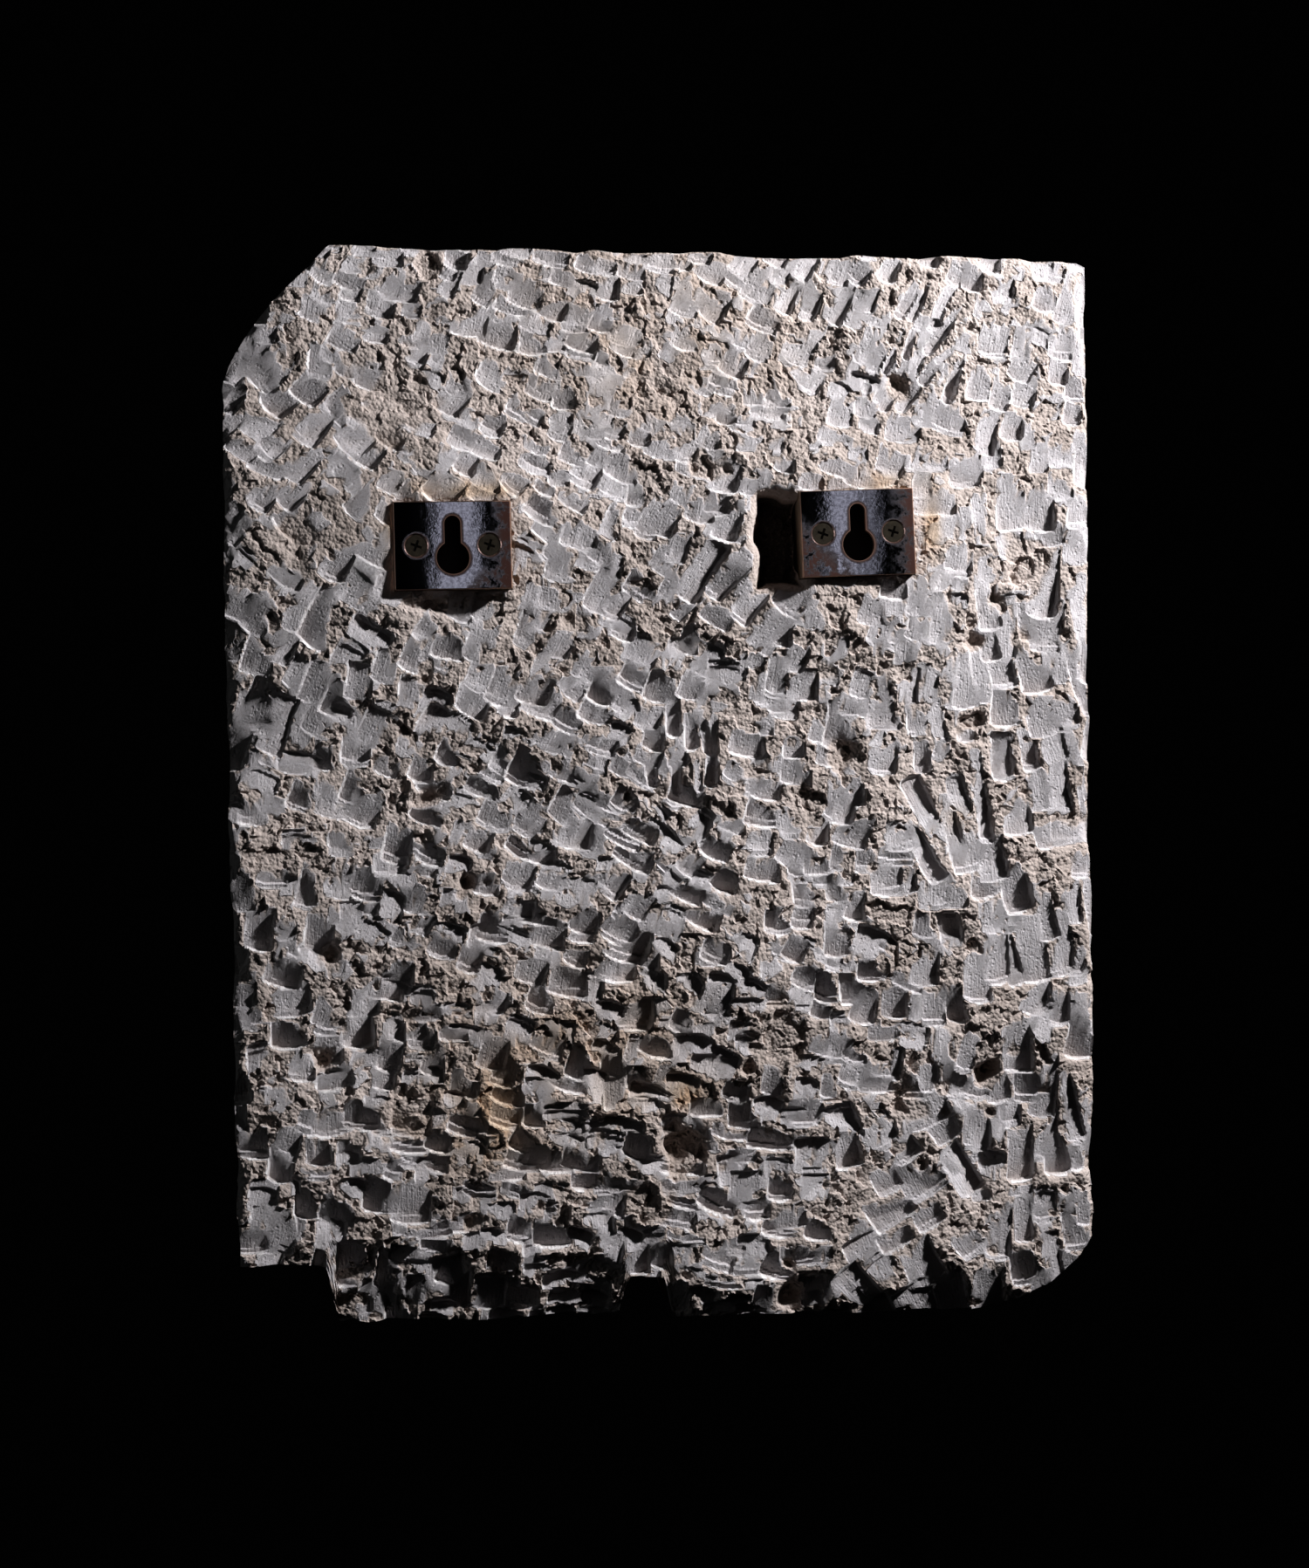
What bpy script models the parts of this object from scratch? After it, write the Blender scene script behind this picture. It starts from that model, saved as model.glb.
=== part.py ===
"""Limestone relief with a tooled back, hung on two keyhole hangers let into the stone.

Metres, +Z up. The wall is the plane y = 0, with the tooled back towards it (-Y) and the carved
face away from it (+Y). The origin is midway between the two seats where the wall screws carry it.
"""
import functools
import math

import bmesh
import bpy
import numpy as np
from mathutils import Matrix

for old in list(bpy.data.objects):
    bpy.data.objects.remove(old, do_unlink=True)

# Slab: its size, and where it hangs from the two wall screws
SLAB_WIDTH = 0.388
SLAB_HEIGHT = 0.4715
SLAB_THICKNESS = 0.048
SLAB_TOP_ABOVE_SEATS = 0.1190
SLAB_OFFSET = 0.0059
BACK_TO_WALL = 0.0100

# Hangers: where they sit
HANGER_SPACING = 0.1786
HANGER_STEP = 0.0077
LEFT_TILT = math.radians(1.5)
RIGHT_TILT = math.radians(2.6)

# Hanger plate, a piece of flat bar with a keyhole
PLATE_WIDTH = 0.0508
PLATE_HEIGHT = 0.0381
PLATE_THICKNESS = 0.0032
PLATE_EDGE_RADIUS = 0.0004
KEYHOLE_HEAD_DIAMETER = 0.0144
KEYHOLE_SLOT_WIDTH = 0.0071
KEYHOLE_RISE = 0.0147
SEAT_ABOVE_CENTRE = 0.0094

# Block behind the plate, with a pocket for the head of the wall screw
BLOCK_DEPTH = 0.0220
POCKET_WIDTH = 0.0200
POCKET_DEPTH = 0.0120
POCKET_MARGIN = 0.0015

# Countersunk screws that hold the plate on the block
SCREW_SPACING = 0.0317
SCREW_HEAD_DIAMETER = 0.0094
SCREW_HEAD_DEPTH = 0.0024
SCREW_SINK = 0.0003
SCREW_SHANK_DIAMETER = 0.0042
SCREW_LENGTH = 0.0140
RECESS_WIDTH = 0.0011
RECESS_SPAN = 0.0050
RECESS_DEPTH = 0.0012

CLEARANCE = 0.0003
FIT_GAP = 0.00035
HOLE_SIDES = 24
SCREW_SIDES = 16

# Grain of the slab's mesh before it is thinned out, and what is left of it
SLAB_COLUMNS = 170
SLAB_ROWS = 206
SIDE_CUTS = 5
SLAB_KEPT_SHARE = 0.050

MM = 0.001


def material(name, colour, roughness, metallic):
    made = bpy.data.materials.new(name)
    made.use_nodes = True
    shader = made.node_tree.nodes["Principled BSDF"]
    shader.inputs["Base Color"].default_value = (*colour, 1.0)
    shader.inputs["Roughness"].default_value = roughness
    shader.inputs["Metallic"].default_value = metallic
    return made


LIMESTONE = material("limestone", (0.52, 0.50, 0.47), 0.92, 0.0)
DARK_BRONZE = material("dark bronze", (0.055, 0.040, 0.034), 0.38, 1.0)
BROWN_BRONZE = material("brown bronze", (0.12, 0.085, 0.06), 0.50, 1.0)
SCREW_BRASS = material("darkened screw brass", (0.09, 0.085, 0.06), 0.42, 1.0)

parts = bpy.data.collections.new("limestone_relief")
cutters = bpy.data.collections.new("cutters")
bpy.context.scene.collection.children.link(parts)
bpy.context.scene.collection.children.link(cutters)


def add_object(name, mesh_data, finish, collection=parts):
    mesh = bpy.data.meshes.new(name)
    mesh_data.to_mesh(mesh)
    mesh_data.free()
    made = bpy.data.objects.new(name, mesh)
    collection.objects.link(made)
    if finish is not None:
        mesh.materials.append(finish)
    if collection is cutters:
        made.hide_render = True
        made.display_type = "WIRE"
    return made


def cut(target, cutter):
    step = target.modifiers.new("cut " + cutter.name, "BOOLEAN")
    step.operation = "DIFFERENCE"
    step.solver = "EXACT"
    step.object = cutter


def box(width, depth, height, centre):
    made = bmesh.new()
    place = Matrix.Translation(centre) @ Matrix.Diagonal((width, depth, height, 1.0))
    bmesh.ops.create_cube(made, size=1.0, matrix=place)
    return made


def cone(near_radius, far_radius, y_near, y_far, sides, x=0.0, z=0.0):
    """A cone or cylinder along Y, from y_near, at the wall side, to y_far."""
    made = bmesh.new()
    place = Matrix.Translation((x, (y_near + y_far) / 2.0, z)) @ Matrix.Rotation(-math.pi / 2.0, 4, "X")
    bmesh.ops.create_cone(made, cap_ends=True, segments=sides, radius1=near_radius,
                          radius2=far_radius, depth=y_far - y_near, matrix=place)
    return made


# Slab outline: heights and widths are worked out in millimetres about the slab's own corner
WIDTH = SLAB_WIDTH / MM
HEIGHT = SLAB_HEIGHT / MM
LEFT_LEAN = 0.0195
RIGHT_LEAN = 0.0095
TOP_CORNER_START = 0.975
CHIP_HEIGHT = 0.130 * HEIGHT
CHIP_WIDTH = 0.119 * WIDTH
CHIP_BOW = 1.35
STUB_RISE = 0.055 * HEIGHT
BREAK_RISE = 0.062 * HEIGHT
BREAK_RISE_RIGHT = 0.022 * HEIGHT
LEDGE_DROP = 1.4
LEDGE_SHARE = 0.45
LEDGE_SLOPE = 0.14
EDGE_DROP = 1.8
EDGE_RUN = 3.5
NOTCH_RISE = 0.038 * HEIGHT
STUB_END = 0.119 * WIDTH
NOTCH_START = 0.452 * WIDTH
NOTCH_END = 0.502 * WIDTH
CORNER_RISE = 0.070 * HEIGHT
CORNER_RUN = 0.150 * WIDTH
TOP_CORNER_DROP = 4.0
EDGE_MARGIN = 1.4
FACE_FOOT_RISE = 2.5

# Waviness of the rough edges and of the back, in rows of height and cell in mm and a seed
LEFT_WAVES = ((0.7, 22.0, 31), (0.4, 7.0, 32))
RIGHT_WAVES = ((0.6, 26.0, 33), (0.3, 8.0, 34))
TOP_WAVES = ((0.9, 30.0, 35), (0.8, 9.0, 36))
FOOT_WAVES = ((1.3, 24.0, 37), (0.9, 8.0, 38))
FACE_FOOT_WAVES = ((1.5, 14.0, 40),)
BREAK_LINE_WAVES = ((3.0, 18.0, 12),)
BACK_SWELLS = ((2.0, 75.0, 3), (1.4, 32.0, 9))


@functools.lru_cache(maxsize=None)
def noise_table(seed):
    """Random heights between -1 and 1 at the corners of a square lattice."""
    return np.random.default_rng(seed).uniform(-1.0, 1.0, (512, 512))


def smooth_noise(x, z, cell, seed):
    """Soft noise between -1 and 1 on a square lattice with the given cell."""
    table = noise_table(seed)
    u = x / cell + 40.0
    v = z / cell + 40.0
    i = np.floor(u).astype(int)
    j = np.floor(v).astype(int)
    s = (u - i) ** 2 * (3.0 - 2.0 * (u - i))
    t = (v - j) ** 2 * (3.0 - 2.0 * (v - j))
    i = i % 511
    j = j % 511
    low = table[i, j] * (1.0 - s) + table[i + 1, j] * s
    high = table[i, j + 1] * (1.0 - s) + table[i + 1, j + 1] * s
    return low * (1.0 - t) + high * t


def crumble(x, z, cell, seed, octaves):
    """Broken stone: octaves of soft noise, each half as wide and about half as high."""
    total = np.zeros_like(x)
    weight = 1.0
    for octave in range(octaves):
        total += weight * smooth_noise(x, z, cell, seed + octave)
        cell *= 0.5
        weight *= 0.55
    return total


def fracture(x, z, cell, seed):
    """Broken stone in facets: each scattered cell has a plane of its own height and tilt."""
    lean_x, lean_z, place_x, place_z, height = np.random.default_rng(seed).uniform(-1.0, 1.0, (5, 256, 256))
    u = x / cell + 40.0
    v = z / cell + 40.0
    i = np.floor(u).astype(int)
    j = np.floor(v).astype(int)
    nearest = np.full(x.shape, np.inf)
    value = np.zeros(x.shape)
    for di in (-1, 0, 1):
        for dj in (-1, 0, 1):
            a = (i + di) % 256
            b = (j + dj) % 256
            du = u - (i + di + 0.5 + 0.45 * place_x[a, b])
            dv = v - (j + dj + 0.5 + 0.45 * place_z[a, b])
            away = du * du + dv * dv
            plane = 0.6 * height[a, b] + 1.1 * (lean_x[a, b] * du + lean_z[a, b] * dv)
            value = np.where(away < nearest, plane, value)
            nearest = np.minimum(away, nearest)
    return value


def rise(value, start, end):
    """0 before start, 1 after end, and a smooth step between them."""
    t = np.clip((value - start) / (end - start), 0.0, 1.0)
    return t * t * (3.0 - 2.0 * t)


def swells(x, z, layers):
    """Soft noise added up, from one row of height, cell and seed for each layer."""
    return sum(height * smooth_noise(x, z, cell, seed) for height, cell, seed in layers)


def left_edge(z, chip):
    """Left edge for a height z above the lowest point, with the upper corner knocked off."""
    lean = LEFT_LEAN * (HEIGHT - CHIP_HEIGHT - z)
    corner = CHIP_WIDTH * chip * np.clip((z - HEIGHT + CHIP_HEIGHT) / CHIP_HEIGHT, 0.0, 1.0) ** CHIP_BOW
    return np.maximum(lean, 0.0) + corner + swells(z, 0.0 * z, LEFT_WAVES)


def right_edge(z):
    """Right edge for a height z, leaning out towards the foot."""
    return WIDTH - RIGHT_LEAN * z + swells(z, 0.0 * z, RIGHT_WAVES)


def top_drop(x):
    """How far the top edge lies below the highest point."""
    corner = TOP_CORNER_DROP * rise(x, TOP_CORNER_START * WIDTH, WIDTH)
    return EDGE_MARGIN + swells(x, 0.0 * x, TOP_WAVES) + corner


def bottom_lift(x, depth_share):
    """How far the broken lower edge lies above the lowest point, at the back (0) or the face (1)."""
    stub = STUB_RISE * (1.0 - rise(x, STUB_END - 2.0, STUB_END + 5.0))
    notch = NOTCH_RISE * rise(x, NOTCH_START - 3.0, NOTCH_START + 3.0)
    notch = notch * (1.0 - rise(x, NOTCH_END - 3.0, NOTCH_END + 4.0))
    corner = CORNER_RISE * np.clip((x - WIDTH + CORNER_RUN) / CORNER_RUN, 0.0, 1.0) ** 3.0
    ragged = FACE_FOOT_RISE + swells(x, 0.0 * x, FACE_FOOT_WAVES)
    return stub + notch + corner + EDGE_MARGIN + swells(x, 0.0 * x, FOOT_WAVES) + ragged * depth_share


def slab_points(columns, rows, depth_share):
    """Grid points of one side in millimetres from the slab's corner."""
    u, v = np.meshgrid(np.linspace(0.0, 1.0, columns + 1), np.linspace(0.0, 1.0, rows + 1))
    z = v * HEIGHT
    left = left_edge(z, 1.0 + 0.05 * depth_share)
    x = left + u * (right_edge(z) - left)
    z = z - top_drop(x) * rise(v, 0.85, 1.0)
    z = z + bottom_lift(x, depth_share) * np.clip(1.0 - v / 0.2, 0.0, 1.0) ** 2
    return x, z


# Chisel work on the back. Each zone has its centre as shares of the slab's width and height, the
# direction the chisel was driven in degrees, the width, length and depth of its cuts in mm, the share
# of cuts driven the other way, the share that broke away, and how far the zone reaches.
CHISEL_ZONES = (
    (0.16, 0.93, -104, 15, 11, 2.2, 0.15, 0.35, 1.0),
    (0.45, 0.93, -102, 16, 11, 2.4, 0.10, 0.15, 1.0),
    (0.67, 0.94, -118, 14, 14, 2.6, 0.10, 0.20, 1.0),
    (0.79, 0.915, -120, 6, 26, 3.0, 0.05, 0.05, 0.6),
    (0.93, 0.92, -100, 14, 16, 2.4, 0.10, 0.45, 1.0),
    (0.09, 0.80, -132, 18, 17, 2.6, 0.15, 0.15, 1.0),
    (0.22, 0.83, -120, 15, 13, 2.6, 0.20, 0.35, 1.0),
    (0.42, 0.82, -104, 16, 11, 2.4, 0.10, 0.25, 1.0),
    (0.60, 0.82, -98, 16, 11, 2.2, 0.10, 0.12, 1.0),
    (0.76, 0.80, -94, 15, 15, 2.2, 0.05, 0.25, 1.0),
    (0.92, 0.78, -90, 14, 22, 2.4, 0.05, 0.30, 1.0),
    (0.09, 0.66, -118, 18, 17, 2.8, 0.25, 0.30, 1.0),
    (0.45, 0.72, -112, 17, 14, 2.4, 0.15, 0.20, 1.0),
    (0.60, 0.70, -128, 18, 19, 2.8, 0.15, 0.20, 1.0),
    (0.25, 0.57, -108, 16, 13, 3.0, 0.35, 0.35, 1.0),
    (0.45, 0.61, -110, 16, 14, 2.8, 0.25, 0.20, 1.0),
    (0.66, 0.58, -97, 15, 14, 2.4, 0.02, 0.22, 1.0),
    (0.80, 0.62, -90, 13, 17, 2.4, 0.02, 0.20, 1.0),
    (0.93, 0.62, -82, 14, 24, 2.6, 0.05, 0.35, 1.0),
    (0.30, 0.49, -112, 17, 11, 3.0, 0.40, 0.25, 1.0),
    (0.52, 0.545, -74, 7, 22, 3.4, 0.00, 0.00, 0.5),
    (0.50, 0.43, -121, 19, 10, 3.0, 0.40, 0.12, 1.0),
    (0.82, 0.48, -64, 10, 34, 3.4, 0.05, 0.20, 0.6),
    (0.10, 0.44, -98, 16, 15, 2.8, 0.30, 0.30, 1.0),
    (0.33, 0.38, -106, 18, 11, 3.2, 0.50, 0.22, 1.0),
    (0.67, 0.44, -97, 16, 14, 2.8, 0.10, 0.28, 1.0),
    (0.92, 0.42, -80, 15, 24, 2.8, 0.05, 0.28, 1.0),
    (0.50, 0.29, -104, 19, 11, 3.5, 0.60, 0.18, 1.0),
    (0.70, 0.27, -100, 18, 13, 3.0, 0.45, 0.25, 1.0),
    (0.88, 0.26, -90, 14, 24, 2.8, 0.10, 0.30, 1.0),
    (0.11, 0.24, -95, 17, 14, 3.0, 0.40, 0.25, 1.0),
    (0.28, 0.20, -100, 17, 11, 3.2, 0.55, 0.25, 1.0),
    (0.11, 0.08, -94, 17, 14, 3.2, 0.45, 0.20, 1.0),
    (0.38, 0.10, -97, 19, 11, 3.4, 0.55, 0.15, 1.0),
    (0.60, 0.12, -97, 19, 11, 3.4, 0.55, 0.20, 1.0),
    (0.78, 0.12, -56, 22, 20, 3.2, 0.10, 0.12, 1.0),
    (0.94, 0.12, -90, 14, 24, 2.8, 0.15, 0.25, 1.0),
)
ZONE_REACH = 85.0
TURNED_DEPTH = 0.70
CUT_DEPTH = 0.80
BROKEN_SHARE = 0.55
ROW_OVERLAP = 0.74
SIDE_OVERLAP = 0.80
CHISEL_SEED = 11
CUT_MEAN = 2.6
DIG_LIMIT = 1.7
SIDE_SLOPE = 2.4
STOP_SLOPE = 2.5
ENTRY_SLOPE = 0.8
NEAREST_TO_WALL = 0.3
WALL_EASING = 1.0

# Places where the stone broke out: centre as shares of width and height, spread and depth in mm
BREAKS = (
    (0.271, 0.407, 6.0, 4.5),
    (0.230, 0.489, 5.0, 4.0),
    (0.117, 0.345, 5.0, 4.0),
    (0.115, 0.246, 5.0, 4.0),
    (0.512, 0.160, 9.0, 4.0),
    (0.854, 0.633, 5.0, 4.0),
    (0.703, 0.526, 6.0, 3.5),
    (0.768, 0.876, 5.0, 3.0),
    (0.871, 0.226, 6.0, 6.0),
    (0.487, 0.868, 13.0, 1.2),
    (0.195, 0.855, 17.0, 1.2),
    (0.075, 0.720, 11.0, 1.5),
    (0.924, 0.711, 12.0, 1.2),
    (0.200, 0.197, 10.0, 1.5),
    (0.477, 0.111, 11.0, 1.5),
    (0.773, 0.197, 10.0, 1.5),
    (0.628, 0.263, 13.0, 1.2),
)


# The pit beside the right hanger: from its plate's centre, half its size each way, and depth, in mm
PIT_PLACE = (-33.0, -4.0)
PIT_HALF = (10.0, 20.0)
PIT_DEPTH = 18.0
PIT_RAGGED = 2.5

# Facets of the stone that broke off beside the cuts, in rows of height and cell in mm and a seed
ROUGH_FACETS = ((0.99, 8.0, 21), (0.55, 4.0, 22))
BROKEN_DEPTH = 0.8


def chisel_cuts():
    """The cuts of every zone: place, direction, width, length, depth and tilt both ways."""
    draw = np.random.default_rng(CHISEL_SEED)
    zones = np.array(CHISEL_ZONES)
    centres = zones[:, :2] * (WIDTH, HEIGHT)
    headings = np.radians(zones[:, 2])
    cuts = []
    for number, (_, _, _, width, length, depth, turned, broken, _) in enumerate(CHISEL_ZONES):
        along = np.array((math.cos(headings[number]), math.sin(headings[number])))
        across = np.array((-along[1], along[0]))
        rows = int(ZONE_REACH / (length * ROW_OVERLAP))
        columns = int(ZONE_REACH / (width * SIDE_OVERLAP))
        for row in range(-rows, rows + 1):
            slip = draw.uniform(-0.5, 0.5)
            for column in range(-columns, columns + 1):
                step = (row + draw.normal(0.0, 0.20)) * length * ROW_OVERLAP
                side = (column + slip + draw.normal(0.0, 0.16)) * width * SIDE_OVERLAP
                place = centres[number] + along * step + across * side
                away = np.hypot(*(centres - place).T) / zones[:, 8]
                away = away * (1.0 + 0.08 * draw.normal(size=len(zones)))
                turn = draw.normal(0.0, 7.0)
                shape = draw.uniform((0.60, 0.90, 0.45), (1.10, 1.60, 1.35))
                tilt = np.tan(np.radians(draw.normal((0.0, 4.5), (5.5, 3.5))))
                chance = draw.uniform(size=2)
                if np.argmin(away) != number:
                    continue
                spall = 0.5 + 0.5 * crumble(place[:1], place[1:], 34.0, 90, 2)[0]
                if chance[0] < BROKEN_SHARE * broken * (0.25 + 2.2 * max(spall - 0.35, 0.0)):
                    continue
                pull = 1.0 / (away + 8.0) ** 3
                blend = math.atan2((pull * np.sin(headings)).sum(), (pull * np.cos(headings)).sum())
                angle = 0.55 * headings[number] + 0.45 * blend + math.radians(turn)
                if chance[1] < turned:
                    angle += math.pi
                    shape[2] *= TURNED_DEPTH
                deep = CUT_DEPTH * depth * shape[2]
                cuts.append((*place, angle, width * shape[0], length * shape[1], deep, *tilt))
    draw.shuffle(cuts)
    return cuts


def pit_share(x, z):
    """1 in the pit that broke out beside the right hanger, 0 outside it, and steep sides between."""
    right = HANGERS["right"]["seat"]
    from_x = np.abs(x - (right[0] - SLAB_LEFT) / MM - PIT_PLACE[0])
    from_z = np.abs(z - (right[1] - SEAT_ABOVE_CENTRE - SLAB_BOTTOM) / MM - PIT_PLACE[1])
    inset = np.minimum(PIT_HALF[0] - from_x, PIT_HALF[1] - from_z)
    return rise(inset + PIT_RAGGED * smooth_noise(x, z, 8.0, 16), -1.5, 2.5)


def back_base(x, z):
    """Depth of the uncut back behind the hanger plates' outer faces, in millimetres."""
    depth = BACK_TO_WALL / MM - CUT_MEAN + swells(x, z, BACK_SWELLS)
    for side in HANGERS.values():
        near_x = (side["seat"][0] - SLAB_LEFT) / MM
        near_z = (side["seat"][1] - SEAT_ABOVE_CENTRE - SLAB_BOTTOM) / MM
        for dx, dz, spread_x, spread_z, level in side["ground"]:
            away = ((x - near_x - dx) / spread_x) ** 2 + ((z - near_z - dz) / spread_z) ** 2
            depth = depth + (level - depth) * np.exp(-away ** 2)
    depth = depth + PIT_DEPTH * pit_share(x, z)
    to_right = rise(x, NOTCH_START - 20.0, NOTCH_END + 10.0)
    break_line = BREAK_RISE + (BREAK_RISE_RIGHT - BREAK_RISE) * to_right
    break_line = break_line + swells(x, 0.0 * x, BREAK_LINE_WAVES) + 1.5 * fracture(x, z, 9.0, 15)
    receding = LEDGE_SLOPE * np.maximum(break_line - z, 0.0)
    for lowered in (1.0, LEDGE_SHARE):
        receding = receding + LEDGE_DROP * rise(lowered * break_line - z, -1.0, 2.5)
    depth = depth + receding * rise(x, STUB_END - 4.0, STUB_END + 4.0)
    inset = np.minimum(x - left_edge(z, 1.0), right_edge(z) - x)
    inset = np.minimum(inset, HEIGHT - top_drop(x) - z)
    return depth + EDGE_DROP * np.clip(1.0 - inset / EDGE_RUN, 0.0, 1.0) ** 2


def broken_out(x, z, base):
    """Depth of the patches that broke out under the blade, and how far each point belongs to one."""
    torn = np.clip((crumble(x, z, 22.0, 130, 3) - 0.95) / 0.25, 0.0, 1.0)
    depth = base + BROKEN_DEPTH + 2.0 * torn
    ragged = 1.0 + 0.5 * smooth_noise(x, z, 6.0, 140)
    for share_x, share_z, spread, deeper in BREAKS:
        away = np.hypot(x - share_x * WIDTH, z - share_z * HEIGHT) / spread * ragged
        inside = np.exp(-away ** 2)
        torn = np.maximum(torn, np.clip(1.8 * inside - 0.4, 0.0, 1.0))
        depth = depth + deeper * inside
    return depth, torn


def kept_off_wall(depth):
    """Eases depths near the wall so that the stone stays behind the plates' outer faces."""
    over = depth - NEAREST_TO_WALL
    return NEAREST_TO_WALL + 0.5 * (over + np.sqrt(over ** 2 + WALL_EASING ** 2))


def back_depth(x, z):
    """Depth of the tooled back: chisel cuts taken out of broken stone, and patches that broke out."""
    wander_x = x + 1.1 * smooth_noise(x, z, 14.0, 61)
    wander_z = z + 1.1 * smooth_noise(x, z, 14.0, 63)
    base = back_base(x, z)
    rough = sum(high * fracture(wander_x, wander_z, cell, seed) for high, cell, seed in ROUGH_FACETS)
    depth = base + BROKEN_DEPTH + rough
    cuts = np.array(chisel_cuts())
    cuts = cuts[pit_share(cuts[:, 0], cuts[:, 1]) < 0.5]
    levels = back_base(cuts[:, 0], cuts[:, 1])
    for level, (px, pz, angle, width, length, deep, roll, pitch) in zip(levels, cuts):
        reach = 0.5 * math.hypot(width, length) + 5.0
        near = (np.abs(x - px) < reach) & (np.abs(z - pz) < reach)
        dx = wander_x[near] - px
        dz = wander_z[near] - pz
        along = dx * math.cos(angle) + dz * math.sin(angle)
        across = dz * math.cos(angle) - dx * math.sin(angle)
        share = along / length + 0.5
        bow = (2.0 * across / width) ** 2
        scoop = 0.30 + 1.12 * np.clip(share, -0.3, 1.1) - 0.30 * np.clip(share, 0.0, 1.1) ** 2 - 0.10 * bow
        floor = level + deep * scoop + roll * across + pitch * along
        floor = np.minimum(floor, base[near] + DIG_LIMIT * deep)
        side = np.maximum(np.abs(across) - width / 2.0 + 0.8, 0.0)
        stop = np.maximum(along - length / 2.0 + 1.3 * bow + 1.2, 0.0)
        start = np.maximum(-along - length / 2.0, 0.0)
        wall = SIDE_SLOPE * side ** 2 / (side + 0.4) + STOP_SLOPE * stop ** 2 / (stop + 0.5)
        wall = wall + ENTRY_SLOPE * start
        depth[near] = np.maximum(depth[near], floor - wall)
    deep, torn = broken_out(wander_x, wander_z, base)
    deep = np.maximum(deep + rough, depth - 0.9)
    depth = np.where(torn > 0.0, np.maximum(depth, depth * (1.0 - torn) + deep * torn), depth)
    return kept_off_wall(depth)


# Carved face: a raised border, and one open lotus on its stem with two pairs of leaves
BORDER_WIDTH = 0.0200
RELIEF_HEIGHT = 0.0055
BLOOM_X = 0.50
BLOOM_Z = 0.50
BLOOM_REACH = 0.36
PETAL_ROWS = ((4, 62.0, 0.80, 0.135, 0.62), (3, 38.0, 1.00, 0.150, 1.00))
STEM_WIDTH = 0.030
LEAF_PAIRS = ((0.08, 66.0), (0.27, 58.0))
LEAF_REACH = 0.25
LEAF_WIDTH = 0.050
PAD_SLOPE = 3.5


def leaf_shape(x, z, base_x, base_z, angle, length, width):
    """Distance inside the rim of a pointed leaf or petal, in millimetres, below 0 outside."""
    along = ((x - base_x) * math.sin(angle) + (z - base_z) * math.cos(angle)) / length
    across = np.abs((x - base_x) * math.cos(angle) - (z - base_z) * math.sin(angle))
    half = width * np.sin(math.pi * np.clip(along, 0.0, 1.0) ** 0.85) ** 0.8
    return np.where((along > 0.0) & (along < 1.0), half - across, -1.0)


def face_relief(x, z):
    """Height of the carved face above its sunk ground, in millimetres."""
    high = RELIEF_HEIGHT / MM
    border = BORDER_WIDTH / MM
    edge = np.minimum(np.minimum(x, WIDTH - x), HEIGHT - z)
    raised = high * (1.0 - rise(edge, border, border + PAD_SLOPE))
    centre_x = BLOOM_X * WIDTH
    centre_z = BLOOM_Z * HEIGHT
    reach = BLOOM_REACH * HEIGHT
    stem = STEM_WIDTH * WIDTH / 2.0 - np.abs(x - centre_x)
    raised = np.maximum(raised, 0.7 * high * rise(stem, -1.0, PAD_SLOPE) * (z < centre_z + 4.0))
    for side in (-1.0, 1.0):
        for lift, tip in LEAF_PAIRS:
            shape = leaf_shape(x, z, centre_x, lift * HEIGHT, side * math.radians(tip),
                               LEAF_REACH * HEIGHT, LEAF_WIDTH * HEIGHT)
            raised = np.maximum(raised, 0.8 * high * rise(shape, 0.0, PAD_SLOPE))
    for count, spread, share, width, top in PETAL_ROWS:
        for petal in range(count):
            angle = math.radians(spread) * (2.0 * petal / (count - 1) - 1.0)
            shape = leaf_shape(x, z, centre_x, centre_z, angle, reach * share, reach * width)
            inside = rise(shape, 0.0, PAD_SLOPE)
            raised = raised * (1.0 - inside) + inside * high * (top - 0.25 * rise(shape, 2.0, 14.0))
    return raised


# Each hanger: the seat of its keyhole, its tilt, and how the stone around it rises or falls.
# A row of ground is an offset from the plate's centre, a spread each way and a level, in mm.
HANGERS = {
    "left": {
        "seat": (-HANGER_SPACING / 2.0, -HANGER_STEP / 2.0),
        "tilt": LEFT_TILT,
        "ground": ((-60.0, -18.0, 74.0, 56.0, 1.6), (-38.0, 10.0, 90.0, 38.0, -0.2),
                   (-34.0, 0.0, 14.0, 24.0, -1.3), (3.0, -25.0, 21.0, 5.0, 5.5), (12.0, -34.0, 12.0, 11.0, 5.0)),
    },
    "right": {
        "seat": (HANGER_SPACING / 2.0, HANGER_STEP / 2.0),
        "tilt": RIGHT_TILT,
        "ground": ((-6.0, -8.0, 70.0, 56.0, 1.8),),
    },
}
SLAB_LEFT = SLAB_OFFSET - SLAB_WIDTH / 2.0
SLAB_BOTTOM = SLAB_TOP_ABOVE_SEATS - SLAB_HEIGHT
FACE_GROUND = BACK_TO_WALL + SLAB_THICKNESS - RELIEF_HEIGHT


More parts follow.
